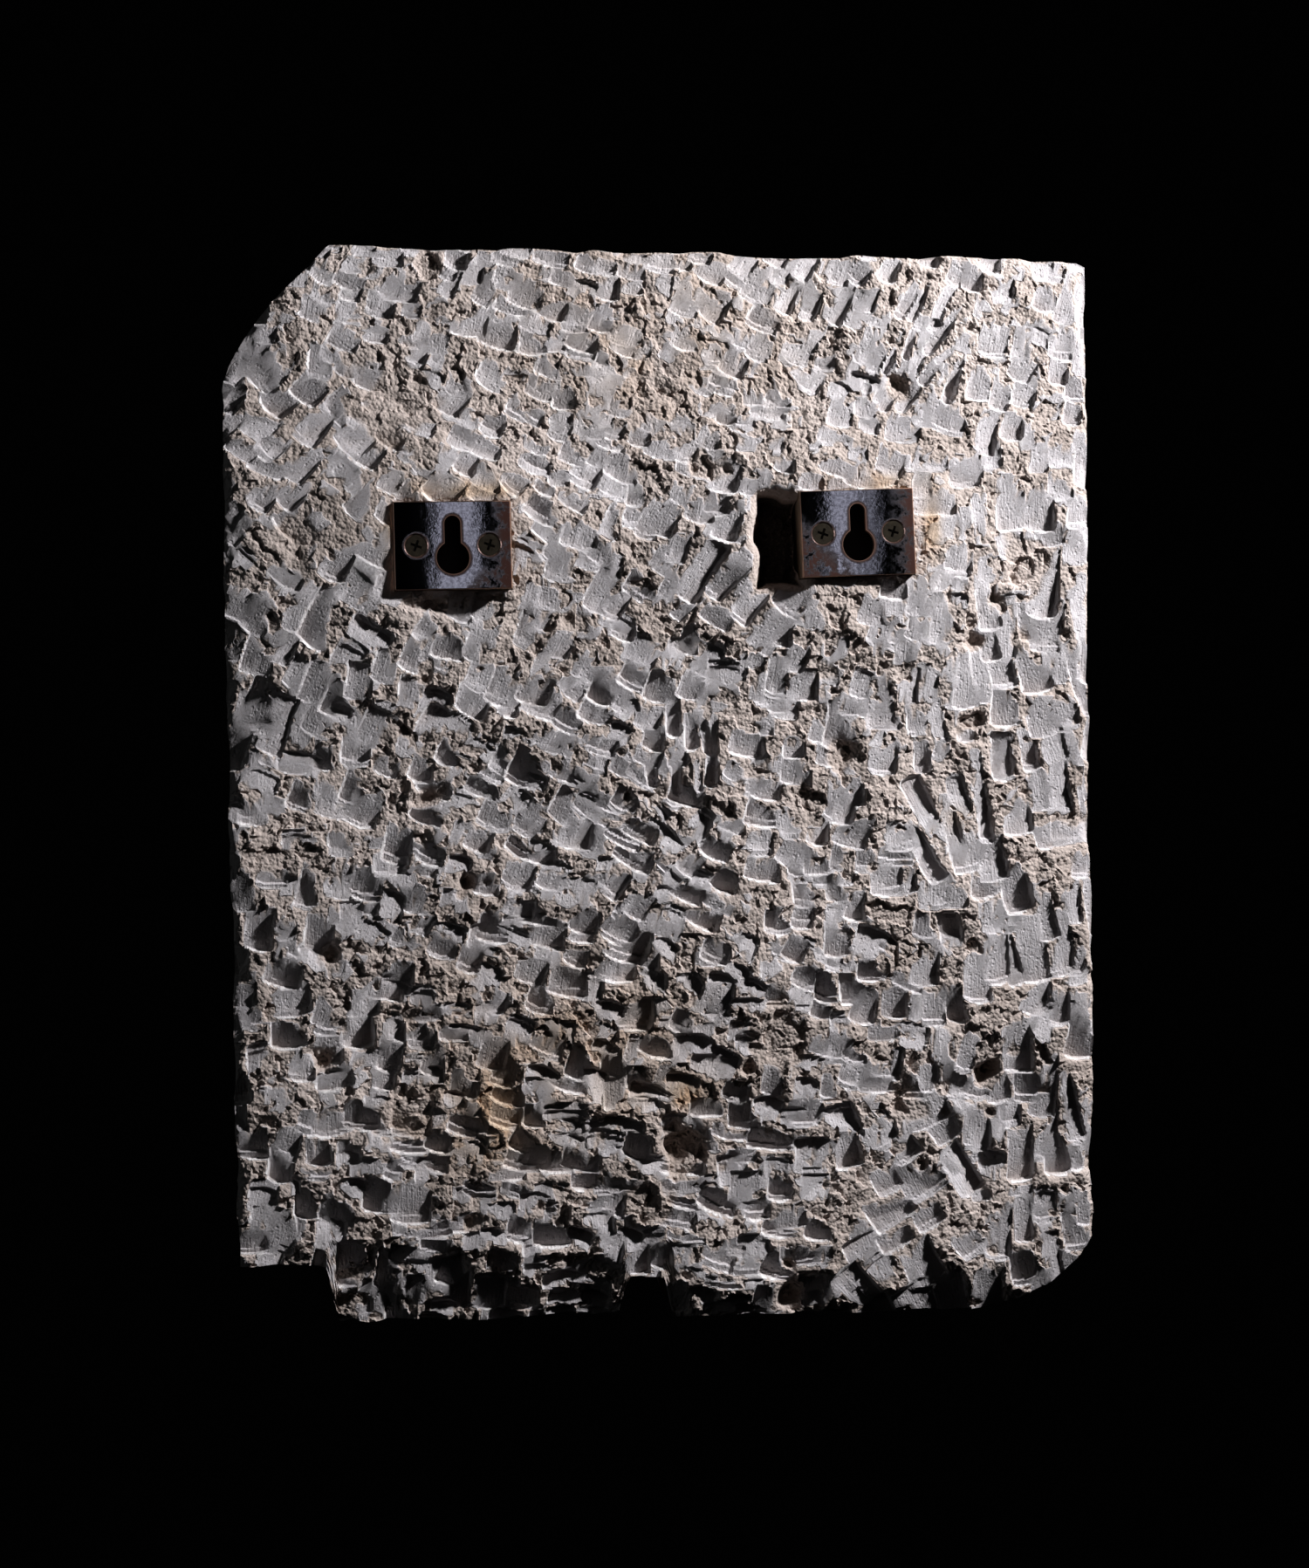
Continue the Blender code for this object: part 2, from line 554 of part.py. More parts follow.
def slab_side(mesh_data, depth_share):
    """One grid over the slab's outline: the tooled back (0) or the carved face (1)."""
    made = bmesh.ops.create_grid(mesh_data, x_segments=SLAB_COLUMNS, y_segments=SLAB_ROWS, size=0.5)
    x, z = slab_points(SLAB_COLUMNS, SLAB_ROWS, depth_share)
    if depth_share == 0:
        y = back_depth(x, z)
    else:
        y = FACE_GROUND / MM + face_relief(x, z) - 0.3 + 0.3 * smooth_noise(x, z, 40.0, 51)
    for vertex in made["verts"]:
        column = round((vertex.co.x + 0.5) * SLAB_COLUMNS)
        row = round((vertex.co.y + 0.5) * SLAB_ROWS)
        place = (x[row, column], y[row, column], z[row, column])
        vertex.co = (SLAB_LEFT + place[0] * MM, place[1] * MM, SLAB_BOTTOM + place[2] * MM)
    return [edge for vertex in made["verts"] for edge in vertex.link_edges if edge.is_boundary]


def build_slab():
    stone = bmesh.new()
    back_rim = slab_side(stone, 0)
    face_rim = slab_side(stone, 1)
    rims = list(set(back_rim + face_rim))
    bridge = bmesh.ops.bridge_loops(stone, edges=rims)
    across = [edge for edge in bridge["edges"] if edge not in rims]
    bmesh.ops.subdivide_edges(stone, edges=across, cuts=SIDE_CUTS, use_grid_fill=True)
    bmesh.ops.triangulate(stone, faces=stone.faces)
    bmesh.ops.recalc_face_normals(stone, faces=stone.faces)
    slab = add_object("limestone_slab", stone, LIMESTONE)
    thin_out = slab.modifiers.new("thin out", "DECIMATE")
    thin_out.ratio = SLAB_KEPT_SHARE
    return slab


def hanger_place(side):
    """From a hanger's own frame, with its plate's outer face centred on the origin, to the slab's."""
    seat_x, seat_z = side["seat"]
    seat = Matrix.Translation((seat_x, 0.0, seat_z)) @ Matrix.Rotation(-side["tilt"], 4, "Y")
    return seat @ Matrix.Translation((0.0, 0.0, -SEAT_ABOVE_CENTRE))


def keyhole_outline():
    """Points round the keyhole: the arc of the seat, down the slot and round the head's hole."""
    seat_radius = KEYHOLE_SLOT_WIDTH / 2.0
    head_radius = KEYHOLE_HEAD_DIAMETER / 2.0
    neck = math.asin(seat_radius / head_radius)
    points = []
    for step in range(HOLE_SIDES // 2 + 1):
        angle = math.pi * step / (HOLE_SIDES // 2)
        points.append((seat_radius * math.cos(angle), SEAT_ABOVE_CENTRE + seat_radius * math.sin(angle)))
    for step in range(HOLE_SIDES + 1):
        angle = math.pi / 2.0 + neck + (2.0 * math.pi - 2.0 * neck) * step / HOLE_SIDES
        points.append((head_radius * math.cos(angle),
                       SEAT_ABOVE_CENTRE - KEYHOLE_RISE + head_radius * math.sin(angle)))
    return points


def prism(outline, start, end):
    """An outline in X and Z, carried along Y from start to end."""
    made = bmesh.new()
    face = made.faces.new([made.verts.new((x, start, z)) for x, z in outline])
    grown = bmesh.ops.extrude_face_region(made, geom=[face])
    moved = [item for item in grown["geom"] if isinstance(item, bmesh.types.BMVert)]
    bmesh.ops.translate(made, verts=moved, vec=(0.0, end - start, 0.0))
    bmesh.ops.recalc_face_normals(made, faces=made.faces)
    return made


def screw_places():
    return {"a": -SCREW_SPACING / 2.0, "b": SCREW_SPACING / 2.0}


def build_plate(name, place):
    plate = add_object("keyhole_plate_" + name,
                       box(PLATE_WIDTH, PLATE_THICKNESS, PLATE_HEIGHT, (0.0, PLATE_THICKNESS / 2.0, 0.0)),
                       DARK_BRONZE)
    plate.matrix_world = place
    rounding = plate.modifiers.new("eased edges", "BEVEL")
    rounding.width = PLATE_EDGE_RADIUS
    rounding.segments = 2
    over = PLATE_THICKNESS
    keyhole = add_object("keyhole_" + name, prism(keyhole_outline(), -over, PLATE_THICKNESS + over),
                         None, cutters)
    keyhole.matrix_world = place
    cut(plate, keyhole)
    for letter, x in screw_places().items():
        shank = SCREW_SHANK_DIAMETER / 2.0 + CLEARANCE
        hole = cone(shank, shank, -over, PLATE_THICKNESS + over, HOLE_SIDES, x=x)
        slope = (SCREW_HEAD_DIAMETER - SCREW_SHANK_DIAMETER) / 2.0 / SCREW_HEAD_DEPTH
        rim = SCREW_HEAD_DIAMETER / 2.0 + CLEARANCE + slope * (SCREW_SINK + over)
        tip = shank / 2.0
        sink = cone(rim, tip, -over, (rim - tip) / slope - over, HOLE_SIDES, x=x)
        for part_name, shape in (("hole", hole), ("sink", sink)):
            cutter = add_object("plate_" + part_name + "_" + name + "_" + letter, shape, None, cutters)
            cutter.matrix_world = place
            cut(plate, cutter)
    return plate


def build_block(name, place):
    near = PLATE_THICKNESS + CLEARANCE
    block = add_object("hanger_block_" + name,
                       box(PLATE_WIDTH, BLOCK_DEPTH, PLATE_HEIGHT, (0.0, near + BLOCK_DEPTH / 2.0, 0.0)),
                       BROWN_BRONZE)
    block.matrix_world = place
    rounding = block.modifiers.new("eased edges", "BEVEL")
    rounding.width = PLATE_EDGE_RADIUS
    rounding.segments = 2
    low = SEAT_ABOVE_CENTRE - KEYHOLE_RISE - KEYHOLE_HEAD_DIAMETER / 2.0 - POCKET_MARGIN
    high = SEAT_ABOVE_CENTRE + KEYHOLE_SLOT_WIDTH / 2.0 + POCKET_MARGIN
    pocket = add_object("pocket_" + name,
                        box(POCKET_WIDTH, 2.0 * POCKET_DEPTH, high - low, (0.0, near, (low + high) / 2.0)),
                        None, cutters)
    pocket.matrix_world = place
    cut(block, pocket)
    for letter, x in screw_places().items():
        radius = SCREW_SHANK_DIAMETER / 2.0 + CLEARANCE
        hole = add_object("block_hole_" + name + "_" + letter,
                          cone(radius, radius, 0.0, SCREW_SINK + SCREW_LENGTH + CLEARANCE, HOLE_SIDES, x=x),
                          None, cutters)
        hole.matrix_world = place
        cut(block, hole)
    return block


def build_screw(name, letter, x, place):
    """A countersunk screw: its head is a cone, its shank a cylinder, with a cross recess."""
    profile = bmesh.new()
    radii = (
        (0.0, SCREW_SINK),
        (SCREW_HEAD_DIAMETER / 2.0, SCREW_SINK),
        (SCREW_SHANK_DIAMETER / 2.0, SCREW_SINK + SCREW_HEAD_DEPTH),
        (SCREW_SHANK_DIAMETER / 2.0, SCREW_SINK + SCREW_LENGTH),
        (0.0, SCREW_SINK + SCREW_LENGTH),
    )
    points = [profile.verts.new((radius, 0.0, -depth)) for radius, depth in radii]
    for first, second in zip(points, points[1:]):
        profile.edges.new((first, second))
    screw = add_object("plate_screw_" + name + "_" + letter, profile, SCREW_BRASS)
    screw.matrix_world = place @ Matrix.Translation((x, 0.0, 0.0)) @ Matrix.Rotation(math.pi / 2.0, 4, "X")
    turn = screw.modifiers.new("turned", "SCREW")
    turn.steps = SCREW_SIDES
    turn.render_steps = SCREW_SIDES
    turn.use_merge_vertices = True
    turn.merge_threshold = 0.00005
    for number, angle in enumerate((math.radians(20.0), math.radians(110.0))):
        slot = add_object("recess_" + name + "_" + letter + "_" + str(number),
                          box(RECESS_SPAN, 2.0 * RECESS_DEPTH, RECESS_WIDTH, (0.0, SCREW_SINK, 0.0)),
                          None, cutters)
        slot.matrix_world = place @ Matrix.Translation((x, 0.0, 0.0)) @ Matrix.Rotation(angle, 4, "Y")
        cut(screw, slot)
    return screw


def cut_socket(slab, name, place):
    """The recess in the back of the stone that takes the block, open towards the wall."""
    depth = PLATE_THICKNESS + CLEARANCE + BLOCK_DEPTH + FIT_GAP
    socket = add_object("socket_" + name,
                        box(PLATE_WIDTH + 2.0 * FIT_GAP, 2.0 * depth, PLATE_HEIGHT + 2.0 * FIT_GAP,
                            (0.0, 0.0, 0.0)),
                        None, cutters)
    socket.matrix_world = place
    cut(slab, socket)


slab = build_slab()
for side_name, side in HANGERS.items():
    side_place = hanger_place(side)
    cut_socket(slab, side_name, side_place)
    build_block(side_name, side_place)
    build_plate(side_name, side_place)
    for screw_letter, screw_x in screw_places().items():
        build_screw(side_name, screw_letter, screw_x, side_place)
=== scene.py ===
"""Looks of a limestone relief seen from behind: tooled stone and two dark keyhole hangers."""
import functools
import math

import bmesh
import bpy
import numpy as np
from mathutils import Matrix, Vector


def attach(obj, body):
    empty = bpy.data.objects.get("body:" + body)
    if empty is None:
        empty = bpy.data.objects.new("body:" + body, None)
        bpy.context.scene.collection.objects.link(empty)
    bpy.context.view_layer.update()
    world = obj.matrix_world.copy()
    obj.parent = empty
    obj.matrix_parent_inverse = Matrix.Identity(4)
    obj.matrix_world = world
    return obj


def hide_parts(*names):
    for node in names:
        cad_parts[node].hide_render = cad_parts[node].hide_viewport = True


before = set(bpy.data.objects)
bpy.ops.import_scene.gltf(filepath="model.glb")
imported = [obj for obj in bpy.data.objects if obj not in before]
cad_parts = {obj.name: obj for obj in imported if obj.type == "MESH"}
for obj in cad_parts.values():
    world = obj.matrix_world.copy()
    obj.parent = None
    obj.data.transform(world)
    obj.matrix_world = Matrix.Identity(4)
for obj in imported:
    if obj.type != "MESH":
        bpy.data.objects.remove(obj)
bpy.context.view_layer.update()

# Limestone slab
# One slab of pale fine-grained limestone, thinned from behind with a flat chisel. Some cuts are clean
# and flat, others broke away and left crumbly stone. Sizes are millimetres from its lower left corner,
# and depths are counted from the wall.
MM = 0.001
SLAB_WIDTH = 388.0
SLAB_HEIGHT = 471.5
SLAB_THICKNESS = 48.0
SLAB_LEFT = -188.1
SLAB_BOTTOM = -352.5
BACK_TO_WALL = 10.0

# Where the two hangers' keyholes sit on their wall screws, in mm from the frame's origin, how far each
# hanger leans, and how far its plate's centre lies below its seat
SEATS = {"left": (-89.30, -3.85), "right": (89.30, 3.85)}
TILTS = {"left": math.radians(1.5), "right": math.radians(2.6)}
SEAT_ABOVE_CENTRE = 9.4

# The mesh: its pitch in mm, how often its sides are cut across, and the most triangles it may have
MESH_PITCH = 0.92
SIDE_CUTS = 22
MOST_TRIANGLES = 196000

# Outline: the leaning sides, the knocked off corner and the broken lower edge with its notch
LEFT_LEAN = 0.0195
RIGHT_LEAN = 0.0095
CHIP_HEIGHT = 0.130 * SLAB_HEIGHT
CHIP_WIDTH = 0.119 * SLAB_WIDTH
CHIP_BOW = 1.35
STUB_RISE = 0.055 * SLAB_HEIGHT
BREAK_RISE = 0.062 * SLAB_HEIGHT
BREAK_RISE_RIGHT = 0.022 * SLAB_HEIGHT
LEDGE_DROP = 1.4
LEDGE_SHARE = 0.45
LEDGE_SLOPE = 0.14
EDGE_DROP = 1.8
EDGE_RUN = 3.5
NOTCH_RISE = 0.038 * SLAB_HEIGHT
STUB_END = 0.119 * SLAB_WIDTH
NOTCH_START = 0.452 * SLAB_WIDTH
NOTCH_END = 0.502 * SLAB_WIDTH
CORNER_RISE = 0.070 * SLAB_HEIGHT
CORNER_RUN = 0.150 * SLAB_WIDTH
TOP_CORNER_START = 0.975
TOP_CORNER_DROP = 4.0
EDGE_MARGIN = 1.4
FACE_FOOT_RISE = 2.5

# Waviness of the broken and sawn edges, in rows of height and cell in mm and a seed
LEFT_WAVES = ((0.7, 22.0, 31), (0.4, 7.0, 32))
RIGHT_WAVES = ((0.6, 26.0, 33), (0.3, 8.0, 34))
TOP_WAVES = ((0.9, 30.0, 35), (0.8, 9.0, 36))
FOOT_WAVES = ((1.3, 24.0, 37), (0.9, 8.0, 38))
FACE_FOOT_WAVES = ((1.5, 14.0, 40),)
BREAK_LINE_WAVES = ((3.0, 18.0, 12),)
BACK_SWELLS = ((2.0, 75.0, 3), (1.4, 32.0, 9))


@functools.lru_cache(maxsize=None)
def noise_table(seed):
    """Random heights between -1 and 1 at the corners of a square lattice."""
    return np.random.default_rng(seed).uniform(-1.0, 1.0, (512, 512))


def smooth_noise(x, z, cell, seed):
    """Soft noise between -1 and 1 on a square lattice with the given cell."""
    table = noise_table(seed)
    u = x / cell + 40.0
    v = z / cell + 40.0
    i = np.floor(u).astype(int)
    j = np.floor(v).astype(int)
    s = (u - i) ** 2 * (3.0 - 2.0 * (u - i))
    t = (v - j) ** 2 * (3.0 - 2.0 * (v - j))
    i = i % 511
    j = j % 511
    low = table[i, j] * (1.0 - s) + table[i + 1, j] * s
    high = table[i, j + 1] * (1.0 - s) + table[i + 1, j + 1] * s
    return low * (1.0 - t) + high * t


def crumble(x, z, cell, seed, octaves):
    """Broken stone: octaves of soft noise, each half as wide and about half as high."""
    total = np.zeros_like(x)
    weight = 1.0
    for octave in range(octaves):
        total += weight * smooth_noise(x, z, cell, seed + octave)
        cell *= 0.5
        weight *= 0.55
    return total


def fracture(x, z, cell, seed):
    """Broken stone in facets: each scattered cell has a plane of its own height and tilt."""
    lean_x, lean_z, place_x, place_z, height = np.random.default_rng(seed).uniform(-1.0, 1.0, (5, 256, 256))
    u = x / cell + 40.0
    v = z / cell + 40.0
    i = np.floor(u).astype(int)
    j = np.floor(v).astype(int)
    nearest = np.full(x.shape, np.inf)
    value = np.zeros(x.shape)
    for di in (-1, 0, 1):
        for dj in (-1, 0, 1):
            a = (i + di) % 256
            b = (j + dj) % 256
            du = u - (i + di + 0.5 + 0.45 * place_x[a, b])
            dv = v - (j + dj + 0.5 + 0.45 * place_z[a, b])
            away = du * du + dv * dv
            plane = 0.6 * height[a, b] + 1.1 * (lean_x[a, b] * du + lean_z[a, b] * dv)
            value = np.where(away < nearest, plane, value)
            nearest = np.minimum(away, nearest)
    return value


def rise(value, start, end):
    """0 before start, 1 after end, and a smooth step between them."""
    t = np.clip((value - start) / (end - start), 0.0, 1.0)
    return t * t * (3.0 - 2.0 * t)


def swells(x, z, layers):
    """Soft noise added up, from one row of height, cell and seed for each layer."""
    return sum(height * smooth_noise(x, z, cell, seed) for height, cell, seed in layers)


def left_edge(z, chip):
    """Left edge for a height z above the lowest point, with the upper corner knocked off."""
    lean = LEFT_LEAN * (SLAB_HEIGHT - CHIP_HEIGHT - z)
    up_the_chip = np.clip((z - SLAB_HEIGHT + CHIP_HEIGHT) / CHIP_HEIGHT, 0.0, 1.0)
    corner = CHIP_WIDTH * chip * up_the_chip ** CHIP_BOW
    return np.maximum(lean, 0.0) + corner + swells(z, 0.0 * z, LEFT_WAVES)


def right_edge(z):
    """Right edge for a height z, leaning out towards the foot."""
    return SLAB_WIDTH - RIGHT_LEAN * z + swells(z, 0.0 * z, RIGHT_WAVES)


def top_drop(x):
    """How far the top edge lies below the highest point."""
    corner = TOP_CORNER_DROP * rise(x, TOP_CORNER_START * SLAB_WIDTH, SLAB_WIDTH)
    return EDGE_MARGIN + swells(x, 0.0 * x, TOP_WAVES) + corner


def bottom_lift(x, depth_share):
    """How far the broken lower edge lies above the lowest point, at the back (0) or the face (1)."""
    stub = STUB_RISE * (1.0 - rise(x, STUB_END - 2.0, STUB_END + 5.0))
    notch = NOTCH_RISE * rise(x, NOTCH_START - 3.0, NOTCH_START + 3.0)
    notch = notch * (1.0 - rise(x, NOTCH_END - 3.0, NOTCH_END + 4.0))
    corner = CORNER_RISE * np.clip((x - SLAB_WIDTH + CORNER_RUN) / CORNER_RUN, 0.0, 1.0) ** 3.0
    ragged = FACE_FOOT_RISE + swells(x, 0.0 * x, FACE_FOOT_WAVES)
    return stub + notch + corner + EDGE_MARGIN + swells(x, 0.0 * x, FOOT_WAVES) + ragged * depth_share


def slab_points(columns, rows, depth_share):
    """Grid points of one side in millimetres from the slab's corner."""
    u, v = np.meshgrid(np.linspace(0.0, 1.0, columns + 1), np.linspace(0.0, 1.0, rows + 1))
    z = v * SLAB_HEIGHT
    left = left_edge(z, 1.0 + 0.05 * depth_share)
    x = left + u * (right_edge(z) - left)
    z = z - top_drop(x) * rise(v, 0.85, 1.0)
    z = z + bottom_lift(x, depth_share) * np.clip(1.0 - v / 0.2, 0.0, 1.0) ** 2
    return x, z


# Chisel work. Each zone has its centre as shares of the slab's width and height, the direction the
# chisel was driven in degrees, the width, length and depth of its cuts in mm, the share of cuts
# driven the other way, the share that broke away, and how far the zone reaches.
CHISEL_ZONES = (
    (0.16, 0.93, -104, 15, 11, 2.2, 0.15, 0.35, 1.0),
    (0.45, 0.93, -102, 16, 11, 2.4, 0.10, 0.15, 1.0),
    (0.67, 0.94, -118, 14, 14, 2.6, 0.10, 0.20, 1.0),
    (0.79, 0.915, -120, 6, 26, 3.0, 0.05, 0.05, 0.6),
    (0.93, 0.92, -100, 14, 16, 2.4, 0.10, 0.45, 1.0),
    (0.09, 0.80, -132, 18, 17, 2.6, 0.15, 0.15, 1.0),
    (0.22, 0.83, -120, 15, 13, 2.6, 0.20, 0.35, 1.0),
    (0.42, 0.82, -104, 16, 11, 2.4, 0.10, 0.25, 1.0),
    (0.60, 0.82, -98, 16, 11, 2.2, 0.10, 0.12, 1.0),
    (0.76, 0.80, -94, 15, 15, 2.2, 0.05, 0.25, 1.0),
    (0.92, 0.78, -90, 14, 22, 2.4, 0.05, 0.30, 1.0),
    (0.09, 0.66, -118, 18, 17, 2.8, 0.25, 0.30, 1.0),
    (0.45, 0.72, -112, 17, 14, 2.4, 0.15, 0.20, 1.0),
    (0.60, 0.70, -128, 18, 19, 2.8, 0.15, 0.20, 1.0),
    (0.25, 0.57, -108, 16, 13, 3.0, 0.35, 0.35, 1.0),
    (0.45, 0.61, -110, 16, 14, 2.8, 0.25, 0.20, 1.0),
    (0.66, 0.58, -97, 15, 14, 2.4, 0.02, 0.22, 1.0),
    (0.80, 0.62, -90, 13, 17, 2.4, 0.02, 0.20, 1.0),
    (0.93, 0.62, -82, 14, 24, 2.6, 0.05, 0.35, 1.0),
    (0.30, 0.49, -112, 17, 11, 3.0, 0.40, 0.25, 1.0),
    (0.52, 0.545, -74, 7, 22, 3.4, 0.00, 0.00, 0.5),
    (0.50, 0.43, -121, 19, 10, 3.0, 0.40, 0.12, 1.0),
    (0.82, 0.48, -64, 10, 34, 3.4, 0.05, 0.20, 0.6),
    (0.10, 0.44, -98, 16, 15, 2.8, 0.30, 0.30, 1.0),
    (0.33, 0.38, -106, 18, 11, 3.2, 0.50, 0.22, 1.0),
    (0.67, 0.44, -97, 16, 14, 2.8, 0.10, 0.28, 1.0),
    (0.92, 0.42, -80, 15, 24, 2.8, 0.05, 0.28, 1.0),
    (0.50, 0.29, -104, 19, 11, 3.5, 0.60, 0.18, 1.0),
    (0.70, 0.27, -100, 18, 13, 3.0, 0.45, 0.25, 1.0),
    (0.88, 0.26, -90, 14, 24, 2.8, 0.10, 0.30, 1.0),
    (0.11, 0.24, -95, 17, 14, 3.0, 0.40, 0.25, 1.0),
    (0.28, 0.20, -100, 17, 11, 3.2, 0.55, 0.25, 1.0),
    (0.11, 0.08, -94, 17, 14, 3.2, 0.45, 0.20, 1.0),
    (0.38, 0.10, -97, 19, 11, 3.4, 0.55, 0.15, 1.0),
    (0.60, 0.12, -97, 19, 11, 3.4, 0.55, 0.20, 1.0),
    (0.78, 0.12, -56, 22, 20, 3.2, 0.10, 0.12, 1.0),
    (0.94, 0.12, -90, 14, 24, 2.8, 0.15, 0.25, 1.0),
)
ZONE_REACH = 85.0

# How far cuts stray from even rows, in shares of their spacing and in degrees, and between which shares
# of their zone's width, length and depth they lie. Tilts are degrees, sideways and along the cut.
ROW_JITTER = 0.20
SIDE_JITTER = 0.16
BORDER_JITTER = 0.08
TURN_JITTER = 7.0
OWN_HEADING = 0.55
SIZE_LEAST = (0.60, 0.90, 0.45)
SIZE_MOST = (1.10, 1.60, 1.35)
TILT_MEAN = (0.0, 4.5)
TILT_SPREAD = (5.5, 3.5)
TURNED_DEPTH = 0.70
CUT_DEPTH = 0.80
BROKEN_SHARE = 0.55
ROW_OVERLAP = 0.74
SIDE_OVERLAP = 0.80
CHISEL_SEED = 11
CUT_MEAN = 2.6
DIG_LIMIT = 1.7
SIDE_SLOPE = 2.4
STOP_SLOPE = 2.5
ENTRY_SLOPE = 0.8
NEAREST_TO_WALL = 0.3
WALL_EASING = 1.0

# Places where the stone broke out: centre as shares of width and height, spread and depth in mm
BREAKS = (
    (0.271, 0.407, 6.0, 4.5),
    (0.230, 0.489, 5.0, 4.0),
    (0.117, 0.345, 5.0, 4.0),
    (0.115, 0.246, 5.0, 4.0),
    (0.512, 0.160, 9.0, 4.0),
    (0.854, 0.633, 5.0, 4.0),
    (0.703, 0.526, 6.0, 3.5),
    (0.768, 0.876, 5.0, 3.0),
    (0.871, 0.226, 6.0, 6.0),
    (0.487, 0.868, 13.0, 1.2),
    (0.195, 0.855, 17.0, 1.2),
    (0.075, 0.720, 11.0, 1.5),
    (0.924, 0.711, 12.0, 1.2),
    (0.200, 0.197, 10.0, 1.5),
    (0.477, 0.111, 11.0, 1.5),
    (0.773, 0.197, 10.0, 1.5),
    (0.628, 0.263, 13.0, 1.2),
    (0.637, 0.022, 5.5, 7.0),
    (0.641, 0.048, 3.5, 4.0),
)

# Stone that no cut reached is broken: it lies this much deeper, in facets given as rows of height and
# cell in mm and a seed. It is torn deeper still where a coarse noise passes a limit, and torn stone
# stands no higher than its rim above the cut that it broke.
BROKEN_DEPTH = 0.8
ROUGH_FACETS = ((0.99, 8.0, 21), (0.55, 4.0, 22))
TORN_FROM = 0.95
TORN_OVER = 0.25
TORN_DEPTH = 2.0
TORN_RIM = 0.9

# Strokes wander a little from a straight line, in rows of reach and cell in mm and a seed
WANDER_X = ((1.1, 14.0, 61), (0.15, 4.0, 62))
WANDER_Z = ((1.1, 14.0, 63), (0.15, 4.0, 64))

# Share of cuts where the blade stopped twice, how far back and how high the first stop is in mm, how
# high up a rim is painted white, as bruised stone and as a painted highlight of the walls, and the
# flutes that the blade's edge left. Each cut's flutes are shifted against the last one's, across and along.
DOUBLE_STOPS = 0.60
STOP_SEED = 23
STOP_BACK = (2.6, 4.6)
STOP_HIGH = (0.35, 0.85)
RIM_WHITE_HEIGHT = 1.0
FLUTE_DEPTH = 0.09
FLUTE_WIDTH = 1.2
FLUTE_STRETCH = 0.15
STROKE_SHIFT = (41.0, 17.0)

# How much bolder the relief is at the foot, and from where to where up the slab this fades out
LOWER_RELIEF = 0.45
LOWER_FADE = (0.08 * SLAB_HEIGHT, 0.85 * SLAB_HEIGHT)

# Relief, ridges and hollows are measured from a mean over this many mesh points each way
RELIEF_REACH = 12
RIDGE_REACH = 3
HOLLOW_REACH = 6

# A ridge that stands this much above the stone round it has chipped, and broken stone is covered in
# crumbs. Rows are height and cell in mm and a seed.
CHIP_LIMIT = 0.95
CHIP_LIMIT_WAVES = ((0.8, 9.0, 41), (0.35, 2.2, 42))
LEAST_CHIP_LIMIT = 0.15
CHIPPED_AWAY = 0.7
CHIPPED_ROUGH = 0.9
CHIP_EDGE = 0.15
CRUMB_FACETS = (0.30, 2.4, 71)
CRUMB_WAVES = ((0.18, 1.6, 72),)

# Painted shade in the pit, and darkening on the squared sides, as if they were hollows this many millimetres
# deep
PIT_SHADE_DEPTH = 8.0
SIDE_DARKENING = 2.4

# Ochre stains, in mm from the slab's lower left: place, spread each way and strength
STAINS = (
    (103.1, 364.1, 25.0, 5.0, 1.0),
    (74.2, 347.0, 4.5, 17.0, 0.9),
    (290.3, 369.6, 21.0, 4.5, 0.8),
    (312.1, 347.0, 4.5, 17.0, 0.8),
    (112.8, 87.1, 27.0, 18.0, 0.7),
    (196.7, 99.5, 14.0, 6.0, 0.9),
    (323.4, 221.0, 5.0, 5.0, 0.9),
    (185.0, 434.0, 62.0, 38.0, 0.40),
    (150.0, 118.0, 60.0, 38.0, 0.50),
)

# A pit broke out beside the right hanger: its place from that plate's centre, half its size each way,
# its depth and how ragged its rim is, in mm
PIT_PLACE = (-33.0, -4.0)
PIT_HALF = (10.0, 20.0)
PIT_DEPTH = 18.0
PIT_RAGGED = 2.5

# Stone around each hanger: place from its plate's centre, spread each way and level, in mm
GROUND = {
    "left": ((-60.0, -18.0, 74.0, 56.0, 1.6), (-38.0, 10.0, 90.0, 38.0, -0.2), (-34.0, 0.0, 14.0, 24.0, -1.3),
             (3.0, -25.0, 21.0, 5.0, 5.5), (12.0, -34.0, 12.0, 11.0, 5.0)),
    "right": ((-6.0, -8.0, 70.0, 56.0, 1.8),),
}


